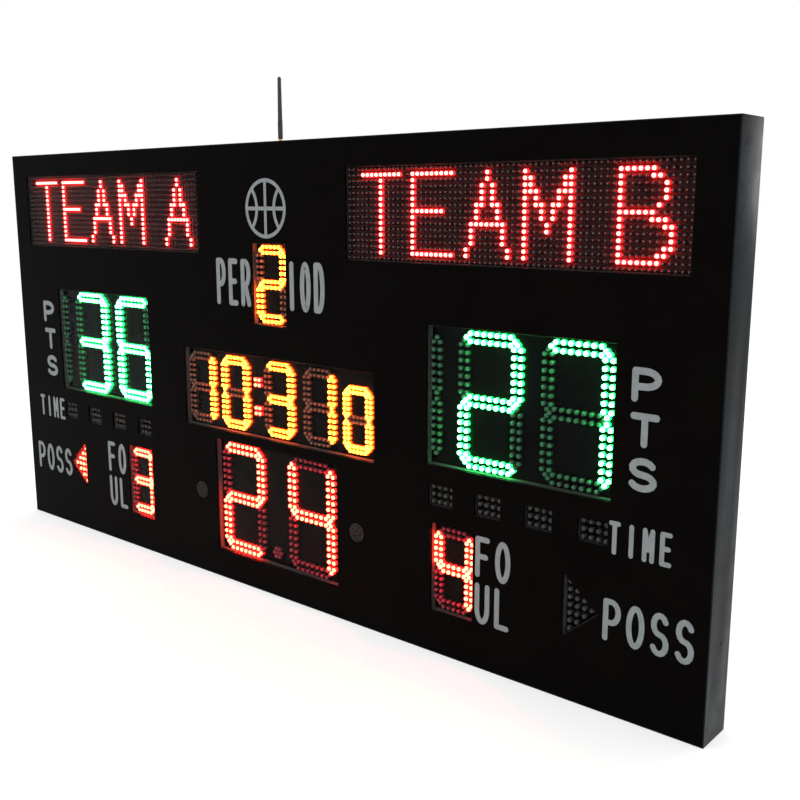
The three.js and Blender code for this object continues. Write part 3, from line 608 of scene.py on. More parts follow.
digit_displays = ["clock_display", "period_display", "shot_clock_display"]
for side, _ in SIDES:
    digit_displays += ["score_display_" + side, "foul_display_" + side]
for name in digit_displays:
    low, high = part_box(name)
    tray(name, block(name + "_tray", low, high))
    board(name + "_board", low.x + TRAY_LIP, high.x - TRAY_LIP, low.z + TRAY_LIP, high.z - TRAY_LIP)
print("digit displays", digit_displays)

# %% [markdown]
# The timeout tray has four recesses in a row. The block is cut across by planes at the edges of the
# windows, and the four front faces between those cuts are pushed back together. Its walls stay black,
# because none of its diodes is lit. The arrow's tray starts from a three-sided cylinder, which is already
# the right outline once it is stretched.

# %% Timeout and arrow trays
TIMEOUT_COUNT = 4
TIMEOUT_PITCH = 97.3 * MM
TIMEOUT_WIDTH = 52 * MM
TIMEOUT_HEIGHT = 38 * MM
LENS_REST = 1.5 * MM


def timeout_centres(node):
    """The places along X of the windows in a row of timeouts."""
    low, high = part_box(node)
    middle = (low.x + high.x) / 2
    return [middle + (i - (TIMEOUT_COUNT - 1) / 2) * TIMEOUT_PITCH for i in range(TIMEOUT_COUNT)]


def slice_at(point, normal):
    """Cuts all the faces along a plane, keeping both sides."""
    bpy.ops.mesh.select_all(action="SELECT")
    bpy.ops.mesh.bisect(plane_co=point, plane_no=normal)


for side, _ in SIDES:
    name = "timeout_display_" + side
    low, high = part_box(name)
    centres = timeout_centres(name)
    half_width = TIMEOUT_WIDTH / 2 - LENS_REST
    half_height = TIMEOUT_HEIGHT / 2 - LENS_REST
    middle_z = (low.z + high.z) / 2
    holder = block(name + "_tray", low, high)
    with editing(holder):
        for x in centres:
            slice_at((x - half_width, 0, 0), (1, 0, 0))
            slice_at((x + half_width, 0, 0), (1, 0, 0))
        slice_at((0, 0, middle_z - half_height), (0, 0, 1))
        slice_at((0, 0, middle_z + half_height), (0, 0, 1))

        def in_window(middle, normal):
            """Whether a face of the front lies in one of the windows."""
            near = min(abs(middle.x - x) for x in centres) < half_width
            return towards_front(middle, normal) and near and abs(middle.z - middle_z) < half_height

        pick_faces(holder, in_window)
        sink(TRAY_FLOOR_Y - low.y)
    soften(holder, 0.4)
    fix(dress(holder, black_abs), replaces=[name])
    plates = []
    for x in centres:
        plate = (x - half_width, x + half_width, middle_z - half_height, middle_z + half_height)
        plates.append(board(name + "_board", *plate))
    fix(join(name + "_board", plates))

for side, sign in SIDES:
    name = "possession_display_" + side
    low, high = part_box(name)
    bpy.ops.object.select_all(action="DESELECT")
    bpy.ops.mesh.primitive_cylinder_add(vertices=3, radius=1, depth=1)
    holder = bpy.context.object
    holder.name = name + "_tray"
    # The prism's axis turns to Y, and its point towards the end of the board
    holder.data.transform(Matrix(((0, sign, 0, 0), (0, 0, 1, 0), (sign, 0, 0, 0), (0, 0, 0, 1))))
    corners = np.array([v.co for v in holder.data.vertices])
    lowest, highest = corners.min(axis=0), corners.max(axis=0)
    scale = [(high[i] - low[i]) / (highest[i] - lowest[i]) for i in range(3)]
    holder.data.transform(Matrix.Diagonal((*scale, 1)))
    corners = np.array([v.co for v in holder.data.vertices])
    holder.data.transform(Matrix.Translation(low - Vector(corners.min(axis=0))))
    tray(name, holder)
    plate = twin(holder, name + "_board")
    with editing(plate):
        pick_faces(plate, lambda m, n: not (towards_front(m, n) and m.y > TRAY_FLOOR_Y - NEAR))
        bpy.ops.mesh.delete(type="FACE")
        bpy.ops.mesh.select_all(action="SELECT")
        pull(BOARD_THICKNESS)
    fix(dress(plate, solder_mask))
print("trays done")

# %% [markdown]
# ## Message panels
#
# Each message panel is 64 by 16 diodes on two boards side by side, behind one window. The panels'
# boards are matt, dark red-brown in the picture, with a diode on every crossing of a 10 mm grid. An
# unlit one of them catches the light only at its tip, so only its front face takes the paler dome
# colour, as a painted highlight.

# %% Message panel boards
matrix_mask, tree = material("dark_matt_solder_mask")
shader = add(tree, "ShaderNodeBsdfPrincipled", {
    "Base Color": mottled(tree, "#3c1f20", "#482829", 30),
    "Roughness": 0.2, "Specular IOR Level": 0.02,
})
add(tree, "ShaderNodeOutputMaterial", {"Surface": shader.outputs[0]})

MODULES = (1, 2)
MODULE_RIM, MODULE_RECESS = 4 * MM, 6 * MM
for side, _ in SIDES:
    finished("matrix_surround_" + side, black_abs, edge_mm=0.5)
    for number in MODULES:
        name = "matrix_module_" + side + "_" + str(number)
        low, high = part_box(name)
        shell = block(name + "_body", (low.x, BOARD_Y, low.z), high)
        with editing(shell):
            pick_faces(shell, towards_back)
            bpy.ops.mesh.inset(thickness=MODULE_RIM)
            pull(MODULE_RECESS)
        soften(shell, 0.4)
        fix(dress(shell, matrix_mask), replaces=[name])
print("message panels", len(SIDES))

# %% [markdown]
# ## One diode
#
# A diode is a little cylinder of epoxy with a flange at its foot and a domed end. It starts as a
# ten-sided cylinder for the flange. The front face is inset for the step, pulled out for the body, and
# pulled out twice more while it shrinks, for the dome. Some 3,600 of them are needed, so it has only
# about fifty faces. The dome and the body are two slots, because a lit diode is brightest at its tip.
# Displays with a wider pitch carry wider diodes of the same height, so the copy takes a width.

# %% Model the diode
FLANGE_RADIUS = 3.5 * MM
DIODE_RADIUS = 3.3 * MM
FLANGE_HEIGHT = 1.0 * MM
DIODE_SIDES = 10
BODY_SHARE = 0.55
DOME_STEPS = ((0.88, 0.2), (0.52, 0.12))

diode = rod("diode", FLANGE_RADIUS, (0, 0, 0), (0, -FLANGE_HEIGHT, 0), DIODE_SIDES)
with editing(diode):
    pick_faces(diode, towards_front)
    bpy.ops.mesh.inset(thickness=FLANGE_RADIUS - DIODE_RADIUS)
    pull(BODY_SHARE * DIODE_HEIGHT)
    for shrink, share in DOME_STEPS:
        pull(share * DIODE_HEIGHT)
        bpy.ops.transform.resize(value=(shrink, 1, shrink))
tall = -min(v.co.y for v in diode.data.vertices)
diode.data.transform(Matrix.Diagonal((1, DIODE_HEIGHT / tall, 1, 1)))
dome_start = (FLANGE_HEIGHT + BODY_SHARE * DIODE_HEIGHT) * DIODE_HEIGHT / tall
print("diode faces", len(diode.data.polygons), "dome from", round(dome_start / MM, 2), "mm")

# %% Plant diodes at a list of places
DIODE_POINTS = np.array([v.co for v in diode.data.vertices])
DIODE_FACES = [list(face.vertices) for face in diode.data.polygons]
DIODE_SLOTS = [int(face.center.y < -dome_start) for face in diode.data.polygons]
# Only the tip face of an unlit message panel diode takes the paler dome colour, a painted highlight.
TIP_HIGHLIGHT_SLOTS = [int(face.center.y < NEAR - DIODE_HEIGHT) for face in diode.data.polygons]


def plant(name, places, width, body_material, dome_material, slots=DIODE_SLOTS):
    """One piece with a diode on the board at each (x, z), as many times as wide as the modelled one."""
    feet = np.array([(x, BOARD_Y, z) for x, z in places])
    points = (feet[:, None, :] + DIODE_POINTS[None, :, :] * (width, 1, width)).reshape(-1, 3)
    step = len(DIODE_POINTS)
    faces = [[i + k * step for i in face] for k in range(len(places)) for face in DIODE_FACES]
    mesh = bpy.data.meshes.new(name)
    mesh.from_pydata(points.tolist(), [], faces)
    piece = bpy.data.objects.new(name, mesh)
    bpy.context.collection.objects.link(piece)
    dress(piece, body_material, dome_material)
    mesh.polygons.foreach_set("material_index", slots * len(places))
    mesh.polygons.foreach_set("use_smooth", [True] * len(faces))
    mesh.update()
    fix(piece)


# %% [markdown]
# Diodes of one colour share a pair of materials: one lit pair and one unlit. The lit dome is far
# brighter than white, so that it burns out in the picture as a real one does. The body below it glows
# in the pure colour, which shows around the dome and on the recess walls. The lit colours are linear
# light, the shares of red, green and blue that a diode gives off. Unlit epoxy is tinted, and hazy in
# places. The paler dome of an unlit diode is partly the bright reflector cup seen through the clear
# epoxy, and partly a painted highlight and a painted glow from the lit diodes near it.

# %% Diode materials
DOME_GLOW, BODY_GLOW = 60, 15
WEAKEST = 0.9
HAZE, HAZE_MOST = "#5a5a58", 0.2


def lit(name, hue, body_hue):
    """The body and dome materials of a lit diode."""
    made = []
    for part, colour, glow in (("body", body_hue, BODY_GLOW), ("dome", hue, DOME_GLOW)):
        mat, tree = material(name + "_" + part)
        shader = add(tree, "ShaderNodeBsdfPrincipled", {
            "Base Color": linear("#303030"), "Roughness": 0.3,
            "Emission Color": (*colour, 1), "Emission Strength": patches(tree, 9, WEAKEST * glow, glow),
        })
        add(tree, "ShaderNodeOutputMaterial", {"Surface": shader.outputs[0]})
        made.append(mat)
    return made


def unlit(name, body_code, dome_code_with_highlight):
    """The body and dome materials of an unlit diode. The paler dome colour is partly a painted highlight and
    a painted glow.
    """
    made = []
    for part, code in (("body", body_code), ("dome", dome_code_with_highlight)):
        mat, tree = material(name + "_" + part)
        shader = add(tree, "ShaderNodeBsdfPrincipled", {
            "Base Color": mottled(tree, code, HAZE, 11, HAZE_MOST), "Roughness": 0.25,
            "Normal": relief(tree, 1.5, 0.01), "Specular IOR Level": 0.18,
        })
        add(tree, "ShaderNodeOutputMaterial", {"Surface": shader.outputs[0]})
        made.append(mat)
    return made


LIT = {
    "green": lit("lit_green_epoxy", (0.06, 1.0, 0.27), (0.004, 1.0, 0.06)),
    "red": lit("lit_red_epoxy", (1.0, 0.034, 0.015), (1.0, 0.003, 0.002)),
    "amber": lit("lit_amber_epoxy", (1.0, 0.14, 0.006), (1.0, 0.03, 0.0005)),
    "matrix": lit("lit_ruby_epoxy", (1.0, 0.034, 0.03), (1.0, 0.003, 0.003)),
}
# The paler dome colours are partly the reflector cup seen through the epoxy, and partly a painted highlight
# and a painted glow from lit diodes nearby.
UNLIT = {
    "green": unlit("unlit_green_epoxy", "#15261d", "#3c7157"),
    "red": unlit("unlit_red_epoxy", "#3a141d", "#9c3345"),
    "amber": unlit("unlit_amber_epoxy", "#33241d", "#80604f"),
    "grey": unlit("unlit_clear_epoxy", "#1b1a19", "#4b4846"),
    "matrix": unlit("unlit_dull_red_epoxy", "#2a1718", "#7a5452"),
}

# %% [markdown]
# ## Digits
#
# A digit is seven bars. Each bar is two rows of diodes with one more at each end, half way between the
# rows, so that the bars run into each other at the corners. The middles of the bars lie one pitch more
# apart than a row is long. A table names the bars that each numeral lights.

# %% Lay out the digits
TIP_SHARE = 0.6
BARS = {"a": (0, 2), "b": (1, 1), "c": (1, -1), "d": (0, -2), "e": (-1, -1), "f": (-1, 1), "g": (0, 0)}
UPRIGHT = "bcef"
NUMERALS = {"0": "abcdef", "1": "bc", "2": "abged", "3": "abgcd", "4": "fgbc", "5": "afgcd",
            "6": "afgcde", "7": "abc", "8": "abcdefg", "9": "abcdfg", " ": ""}


def bar_places(bar, dots, pitch, x, z):
    """Places of the diodes in one bar of a digit about (x, z)."""
    reach = (dots + 1) * pitch / 2
    across, up = BARS[bar]
    row = [(i - (dots - 1) / 2) * pitch for i in range(dots)]
    tip = row[-1] + TIP_SHARE * pitch
    spots = [(a, b * pitch / 2) for b in (-1, 1) for a in row] + [(-tip, 0), (tip, 0)]
    if bar in UPRIGHT:
        spots = [(b, a) for a, b in spots]
    return [(x + across * reach + a, z + up * reach + b) for a, b in spots]


class Lights:
    """Collects the places of a display's diodes by colour, lit or not."""

    def __init__(self, node, width=1.0, label=None):
        self.node = label or node
        self.width = width
        low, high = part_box(node)
        self.x = (low.x + high.x) / 2
        self.z = (low.z + high.z) / 2
        self.places = {}

    def put(self, colour, on, spots):
        """Adds places of one colour."""
        self.places.setdefault((colour, on), []).extend(spots)

    def digit(self, colour, numeral, dots, pitch, x, z=0.0, bars="abcdefg"):
        """Adds the bars of a digit, of which the numeral's own are lit."""
        for bar in bars:
            on = bar in NUMERALS[numeral]
            self.put(colour, on, bar_places(bar, dots, pitch, self.x + x, self.z + z))

    def grid(self, colour, on, columns, rows, pitch, x, z):
        """Adds a block of columns and rows about a place."""
        for i in range(columns):
            for k in range(rows):
                spot = ((i - (columns - 1) / 2) * pitch, (k - (rows - 1) / 2) * pitch)
                self.put(colour, on, [(self.x + x + spot[0], self.z + z + spot[1])])

    def make(self):
        """Plants what was collected and tells how many diodes of each kind that is."""
        for (colour, on), spots in self.places.items():
            finish = (LIT if on else UNLIT)[colour]
            plant(self.node + "_diodes_" + colour + ("_lit" if on else "_unlit"), spots, self.width, *finish)
        return {key: len(spots) for key, spots in self.places.items()}


# %% Digits of the scores, fouls and period
LARGE_DOTS, LARGE_PITCH = 7, 13 * MM
MIDDLE_DOTS, MIDDLE_PITCH = 5, 10.9 * MM
SMALL_DOTS, SMALL_PITCH = 5, 9.1 * MM
LARGE_REACH = (LARGE_DOTS + 1) * LARGE_PITCH / 2
LARGE_WIDTH, FOUL_WIDTH = 1.18, 1.08
SCORE_PLACES = (-160 * MM, -52 * MM, 108 * MM)

for side, score in (("left", "36"), ("right", "27")):
    show = Lights("score_display_" + side, LARGE_WIDTH)
    show.digit("green", " ", LARGE_DOTS, LARGE_PITCH, SCORE_PLACES[0] - LARGE_REACH, bars="bc")
    show.digit("green", score[0], LARGE_DOTS, LARGE_PITCH, SCORE_PLACES[1])
    show.digit("green", score[1], LARGE_DOTS, LARGE_PITCH, SCORE_PLACES[2])
    print(show.node, show.make())

for side, fouls in (("left", "3"), ("right", "4")):
    show = Lights("foul_display_" + side, FOUL_WIDTH)
    show.digit("red", fouls, MIDDLE_DOTS, MIDDLE_PITCH, 0)
    print(show.node, show.make())

show = Lights("period_display")
show.digit("amber", "2", MIDDLE_DOTS, MIDDLE_PITCH, 0)
print(show.node, show.make())

# %% Game clock and shot clock
CLOCK_PLACES = (-216.5 * MM, -113.5 * MM, 14 * MM, 122.5 * MM)
COLON_PLACE, COLON_RISE = -47.5 * MM, 28.5 * MM
TENTHS_PLACE, TENTHS_DROP = 219.5 * MM, -10.8 * MM
SHOT_PLACES = (-97 * MM, 97 * MM)
POINT_DROP = -92 * MM
POINT_RING, POINT_DOTS = 9 * MM, 6

show = Lights("clock_display")
for numeral, x in zip("1031", CLOCK_PLACES):
    show.digit("amber", numeral, MIDDLE_DOTS, MIDDLE_PITCH, x)
for sign in (-1, 1):
    show.grid("red", True, 2, 2, MIDDLE_PITCH, COLON_PLACE, sign * COLON_RISE)
print(show.node, show.make())
show = Lights("clock_display", label="clock_tenths")
show.digit("amber", "0", SMALL_DOTS, SMALL_PITCH, TENTHS_PLACE, TENTHS_DROP)
print(show.node, show.make())

show = Lights("shot_clock_display", LARGE_WIDTH)
for numeral, x in zip("24", SHOT_PLACES):
    show.digit("red", numeral, LARGE_DOTS, LARGE_PITCH, x)
for k in range(POINT_DOTS):
    turn = 2 * math.pi * k / POINT_DOTS
    spot = (show.x + POINT_RING * math.cos(turn), show.z + POINT_DROP + POINT_RING * math.sin(turn))
    show.put("red", False, [spot])
show.put("red", False, [(show.x, show.z + POINT_DROP)])
print(show.node, show.make())

# %% Timeouts and possession arrows
TIMEOUT_COLUMNS, TIMEOUT_ROWS = 4, 3
ARROW_COLUMNS = (7, 5, 3, 1)
ARROW_START = -22.5 * MM

for side, _ in SIDES:
    name = "timeout_display_" + side
    show = Lights(name, LARGE_WIDTH)
    for x in timeout_centres(name):
        show.grid("grey", False, TIMEOUT_COLUMNS, TIMEOUT_ROWS, LARGE_PITCH, x - show.x, 0)
    print(show.node, show.make())

for side, sign in SIDES:
    window_low, window_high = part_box("possession_window_" + side)
    show = Lights("possession_display_" + side, LARGE_WIDTH)
    middle = (window_low.x + window_high.x) / 2 - show.x
    on = side == "left"
    for i, rows in enumerate(ARROW_COLUMNS):
        x = middle + sign * (ARROW_START + i * LARGE_PITCH)
        show.grid("red" if on else "grey", on, 1, rows, LARGE_PITCH, x, 0)
    print(show.node, show.make())

# %% [markdown]
# ## Letters
#
# The printed words and the running words use one plain alphabet of round-ended strokes, as a sign
# cutter's pen would draw them. Each letter is a few smooth strokes in a unit square. The print turns
# them into flat shapes, and the message panels light each diode that lies near a stroke.

# %% An alphabet of strokes
def arc(x, y, across, up, start, end, steps=10):
    """Points along a stretch of an ellipse, with angles in degrees."""
    turns = [math.radians(start + (end - start) * i / steps) for i in range(steps + 1)]
    return [(x + across * math.cos(t), y + up * math.sin(t)) for t in turns]


def bowl(low, high, reach=1.0):
    """A stroke that leaves the stem at the top, rounds the right side and comes back."""
    up = (high - low) / 2
    return [(0, high)] + arc(0.45 * reach, low + up, 0.55 * reach, up, 90, -90) + [(0, low)]


def ring(x=0.5, y=0.5, across=0.5, up=0.5):
    """A closed ring in two strokes."""
    return [arc(x, y, across, up, 0, 180, 16), arc(x, y, across, up, 180, 360, 16)]


STEM = [(0, 0), (0, 1)]
ALPHABET = {
    "A": [[(0, 0), (0.5, 1)], [(0.5, 1), (1, 0)], [(0.19, 0.36), (0.81, 0.36)]],
    "B": [STEM, bowl(0.52, 1, 0.88), bowl(0, 0.52)],
    "D": [STEM, bowl(0, 1)],
    "E": [STEM, [(0, 1), (0.95, 1)], [(0, 0.52), (0.8, 0.52)], [(0, 0), (0.95, 0)]],
    "F": [STEM, [(0, 1), (0.95, 1)], [(0, 0.52), (0.8, 0.52)]],
    "I": [[(0.5, 0), (0.5, 1)]],
    "L": [STEM, [(0, 0), (0.95, 0)]],
    "M": [STEM, [(0, 1), (0.5, 0.35)], [(0.5, 0.35), (1, 1)], [(1, 1), (1, 0)]],
    "O": ring(),
    "P": [STEM, bowl(0.44, 1)],
    "R": [STEM, bowl(0.46, 1), [(0.45, 0.46), (1, 0)]],
    "S": [arc(0.5, 0.75, 0.46, 0.25, 25, 270) + arc(0.5, 0.25, 0.5, 0.25, 90, -155)[1:]],
    "T": [[(0, 1), (1, 1)], [(0.5, 1), (0.5, 0)]],
    "U": [[(0, 1)] + arc(0.5, 0.35, 0.5, 0.35, 180, 360) + [(1, 1)]],
}
print("letters", "".join(ALPHABET))

# %% Message panel words
MATRIX_COLUMNS, MATRIX_ROWS, MATRIX_PITCH = 64, 16, 10 * MM
LETTER_COLUMNS, LETTER_STEP, WORD_GAP = 8, 11, 5
LETTER_FOOT, LETTER_ROWS = 1, 13
STROKE_REACH = 0.58
MATRIX_WIDTH = 0.95


def near_stroke(point, stroke):
    """Distance from a point to a stroke."""
    least = math.inf
    for (ax, ay), (bx, by) in zip(stroke, stroke[1:]):
        dx, dy = bx - ax, by - ay
        length = dx * dx + dy * dy
        share = 0 if length == 0 else ((point[0] - ax) * dx + (point[1] - ay) * dy) / length
        share = min(1, max(0, share))
        least = min(least, math.hypot(point[0] - ax - share * dx, point[1] - ay - share * dy))
    return least


def running_word(text):
    """The set of (column, row) of the diodes that a word lights, centred on the panel."""
    steps = [WORD_GAP if letter == " " else LETTER_STEP for letter in text]
    width = sum(steps) - LETTER_STEP + LETTER_COLUMNS
    column = (MATRIX_COLUMNS - 1 - width) // 2
    on = set()
    for letter, step in zip(text, steps):
        for stroke in ALPHABET.get(letter, []):
            line = [(column + u * LETTER_COLUMNS, LETTER_FOOT + v * LETTER_ROWS) for u, v in stroke]
            for i in range(column - 1, column + LETTER_COLUMNS + 2):
                for k in range(MATRIX_ROWS):
                    if near_stroke((i, k), line) < STROKE_REACH:
                        on.add((i, k))
        column += step
    return on


for side, word in (("left", "TEAM A"), ("right", "TEAM B")):
    low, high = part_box("matrix_window_" + side)
    middle = (low + high) / 2
    on = running_word(word)
    spots = {True: [], False: []}
    for i in range(MATRIX_COLUMNS):
        for k in range(MATRIX_ROWS):
            x = middle.x + (i - (MATRIX_COLUMNS - 1) / 2) * MATRIX_PITCH
            z = middle.z + (k - (MATRIX_ROWS - 1) / 2) * MATRIX_PITCH
            spots[(i, k) in on].append((x, z))
    plant("matrix_diodes_" + side + "_lit", spots[True], MATRIX_WIDTH, *LIT["matrix"])
    plant("matrix_diodes_" + side + "_unlit", spots[False], MATRIX_WIDTH, *UNLIT["matrix"], TIP_HIGHLIGHT_SLOTS)
    print("matrix", side, len(spots[True]), "lit", len(spots[False]), "unlit")
bpy.data.objects.remove(diode)

# %% [markdown]
# ## The print
#
# The words are screen printed in grey ink on the front sheet, a tenth of a millimetre thick. Each
# stroke is drawn as a closed outline with round ends, given its thickness, and united with the others
# of its letter, so that the ink is one clean skin with no doubled faces.

# %% Grey ink
grey_ink, tree = material("grey_screen_ink")
shader = add(tree, "ShaderNodeBsdfPrincipled", {
    "Base Color": mottled(tree, "#838b8e", "#90979a", 12),
    "Roughness": 0.55, "Specular IOR Level": 0.2,
    "Normal": relief(tree, 0.8, 0.006),
})
add(tree, "ShaderNodeOutputMaterial", {"Surface": shader.outputs[0]})

# %% Draw strokes as ink
INK_THICKNESS = 0.12 * MM
INK_PROUD, MARK_SUNK = 0.8, 0.4
INK_SIZE = Matrix.Diagonal((MM, INK_THICKNESS, MM, 1))
CAP_STEPS = 8
MITRE_LIMIT = 0.7


def ink_outline(stroke, width):
    """The closed outline of a smooth stroke with round ends, as points in X and Z."""
    points = [Vector(p) for p in stroke]
    ways = [(b - a).normalized() for a, b in zip(points, points[1:])]
    left, right = [], []
    for i, point in enumerate(points):
        before, after = ways[max(i - 1, 0)], ways[min(i, len(ways) - 1)]
        way = (before + after).normalized()
        side = Vector((-way.y, way.x)) * width / 2 / max(way.dot(after), MITRE_LIMIT)
        left.append(point + side)
        right.append(point - side)

    def cap(centre, way):
        """The round end of the stroke."""
        start = math.atan2(-way.x, way.y) + math.pi
        turns = [start + math.pi * k / CAP_STEPS for k in range(1, CAP_STEPS)]
        return [centre + Vector((math.cos(t), math.sin(t))) * width / 2 for t in turns]

    return left[::-1] + cap(points[0], ways[0]) + right + cap(points[-1], -ways[-1])


def ink_solid(outline):
    """A thin slab of ink from an outline in millimetres, one millimetre thick while it is drawn."""
    mesh = bpy.data.meshes.new("stroke")
    mesh.from_pydata([(p.x, 0, p.y) for p in outline], [], [list(range(len(outline)))])
    piece = bpy.data.objects.new("stroke", mesh)
    bpy.context.collection.objects.link(piece)
    with editing(piece):
        bpy.ops.mesh.select_all(action="SELECT")
        sink(1)
        face_outwards()
    return piece


def ink_shape(strokes, width):
    """Strokes in millimetres as one united solid."""
    solids = [ink_solid(ink_outline(stroke, width)) for stroke in strokes]
    shape = solids[0]
    for other in solids[1:]:
        use(shape, "BOOLEAN", object=other, operation="UNION", solver="EXACT")
        bpy.data.objects.remove(other)
    return shape


def printed(name, rows, left, right, low, high, width, gap):
    """A word in one or more rows, fitted in a field of the front, all in millimetres."""
    shapes = []
    row_height = (high - low - gap * (len(rows) - 1)) / len(rows)
    for k, text in enumerate(rows):
        cell = (right - left - gap * (len(text) - 1)) / len(text)
        base = high - (k + 1) * row_height - k * gap
        for i, letter in enumerate(text):
            start = left + i * (cell + gap)

            def spot(u, v):
                """The place of a point of the letter's square in its cell."""
                return (start + width / 2 + u * (cell - width), base + width / 2 + v * (row_height - width))

            shapes.append(ink_shape([[spot(u, v) for u, v in s] for s in ALPHABET[letter]], width))
    ink_piece(name, shapes)


def ink_piece(name, shapes):
    """Joins ink shapes and lays them on the front sheet at their real thickness."""
    piece = join(name, shapes)
    piece.data.transform(Matrix.Translation((0, FACE_Y - INK_PROUD * INK_THICKNESS, 0)) @ INK_SIZE)
    fix(dress(piece, grey_ink))


# %% Print the words
# Bottom and top of each kind of word, the width of its stroke and the gap between letters, in mm
PERIOD_FIELD = (577, 669, 11, 8)
SCORE_FIELD = (363, 545, 10.5, 15)
TIMEOUT_FIELD = (259, 311, 7.5, 8)
POSSESSION_FIELD = (120, 188, 9, 9)
FOUL_FIELD = (81, 234, 9.5, 10)

# Name, rows of letters, left and right end in mm, and field
WORDS = (
    ("period_print_left", ["PER"], -151, -50, PERIOD_FIELD),
    ("period_print_right", ["IOD"], 50, 149, PERIOD_FIELD),
    ("score_print_right", ["P", "T", "S"], 762, 808, SCORE_FIELD),
    ("score_print_left", ["P", "T", "S"], -803, -757, SCORE_FIELD),
    ("timeout_print_right", ["TIME"], 735, 837, TIMEOUT_FIELD),
    ("timeout_print_left", ["TIME"], -845, -737, TIMEOUT_FIELD),
    ("possession_print_right", ["POSS"], 731, 878, POSSESSION_FIELD),
    ("possession_print_left", ["POSS"], -870, -720, POSSESSION_FIELD),
    ("foul_print_right", ["FO", "UL"], 491, 561, FOUL_FIELD),
    ("foul_print_left", ["FO", "UL"], -563, -494, FOUL_FIELD),
)
for name, rows, left, right, field in WORDS:
    printed(name, rows, left, right, *field)
print("words printed", len(WORDS))

# %% [markdown]
# Above the period stands a ball with its seams, printed in the same ink: a ring, a cross and two curved
# seams. The seams stop inside the ring's stroke, so that all of it unites into one shape.

# %% Print the ball
BALL_X, BALL_Z, BALL_RADIUS, BALL_STROKE = -3.5, 764.5, 52, 7
SEAM_OFFSET, SEAM_RADIUS, SEAM_STEPS = 1.5, 1.05, 14
seam_cosine = (SEAM_OFFSET ** 2 + SEAM_RADIUS ** 2 - 1) / (2 * SEAM_OFFSET * SEAM_RADIUS)
SEAM_ANGLE = math.degrees(math.acos(seam_cosine))

ball = ring(0, 0, 1, 1) + [[(-1, 0), (1, 0)], [(0, -1), (0, 1)]]
for sign in (-1, 1):
    middle = 90 - 90 * sign
    ends = (middle - SEAM_ANGLE, middle + SEAM_ANGLE)
    ball.append(arc(-sign * SEAM_OFFSET, 0, SEAM_RADIUS, SEAM_RADIUS, *ends, SEAM_STEPS))
ball = [[(BALL_X + BALL_RADIUS * x, BALL_Z + BALL_RADIUS * z) for x, z in part] for part in ball]
ink_piece("ball_print", [ink_shape(ball, BALL_STROKE)])
print("ball strokes", len(ball))

# %% [markdown]
# ## Sheet steel inside and behind
#
# The uprights, brackets, hangers, hinges and the supply's case are galvanised steel. Hot zinc freezes in
# large flat crystals, some 7 mm wide, so the sheet shows patches that mirror the light a little
# differently.

# %% Galvanised steel
CRYSTAL_MM = 7
zinc_steel, tree = material("galvanised_steel")
place = add(tree, "ShaderNodeTexCoord").outputs["Object"]
spangle = add(tree, "ShaderNodeTexVoronoi", {"Vector": place, "Scale": per_mm(CRYSTAL_MM)})
tone = add(tree, "ShaderNodeRGBToBW", {"Color": spangle.outputs["Color"]})
rough = add(tree, "ShaderNodeMapRange", {"Value": tone.outputs[0], "To Min": 0.32, "To Max": 0.52})
crystals = add(tree, "ShaderNodeMix", {0: tone.outputs[0], 6: linear("#8f9498"), 7: linear("#aeb3b6")},
               data_type="RGBA")
shader = add(tree, "ShaderNodeBsdfPrincipled", {
    "Base Color": crystals.outputs[2], "Metallic": 1.0,
    "Roughness": rough.outputs[0], "Normal": relief(tree, 4, 0.006),
})
add(tree, "ShaderNodeOutputMaterial", {"Surface": shader.outputs[0]})

SHEET_KINDS = ("mullion", "corner_bracket", "wall_hanger")
sheet_nodes = [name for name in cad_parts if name.startswith(SHEET_KINDS)]
sheet_nodes += ["door_hinge_" + where for where in HEIGHTS] + ["power_supply"]
for name in sheet_nodes:
    finished(name, zinc_steel)
print("steel pieces", len(sheet_nodes))

# %% [markdown]
# The rear cover and the door are sheet in the same powder coat as the frame. The locks are cast zinc
# with a chrome plating, a bright mirror that hand grease and wear have dulled in small patches. A thin
# black plate lies in the bottom of the key slot as painted shade, so the slot looks dark and shows how
# far the lock is turned.

# %% Rear cover, door and locks
finished("rear_panel", powder_coat)
finished("service_door", powder_coat, "door", edge_mm=0.3)

bright_zinc, tree = material("chromed_zinc_casting")
shader = add(tree, "ShaderNodeBsdfPrincipled", {
    "Base Color": mottled(tree, "#b9bcbf", "#cfd2d4", 3), "Metallic": 1.0,
    "Roughness": patches(tree, 2, 0.14, 0.24), "Normal": relief(tree, 0.5, 0.002),
})
add(tree, "ShaderNodeOutputMaterial", {"Surface": shader.outputs[0]})
KEY_SLOT_WIDTH, KEY_SLOT_LENGTH, KEY_SLOT_DEPTH = 2 * MM, 10 * MM, 1 * MM
SLOT_SHADE_PLATE_THICKNESS = 0.3 * MM
for where in HEIGHTS:
    finished("door_lock_" + where, bright_zinc, "lock_" + where, edge_mm=0.4, segments=3)
    low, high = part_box("door_lock_" + where)
    radius = (high.x - low.x) / 2
    bottom = Vector((low.x + radius, high.y - KEY_SLOT_DEPTH, low.z + radius))
    half = Vector((KEY_SLOT_WIDTH / 2, 0, KEY_SLOT_LENGTH / 2))
    end = bottom + half + Vector((0, SLOT_SHADE_PLATE_THICKNESS, 0))
    # A thin black plate in the bottom of the key slot, as painted shade that keeps the slot dark.
    plate = block("key_slot_shade_plate_" + where, bottom - half, end)
    fix(dress(soften(plate, 0.05, 1), black_abs), "lock_" + where)
print("locks on the door", len(HEIGHTS))

# %% [markdown]
# The rear cover is held by pan-head screws along its edges, the hangers by four each, and the hinges by
# two on the cover and one on the door.

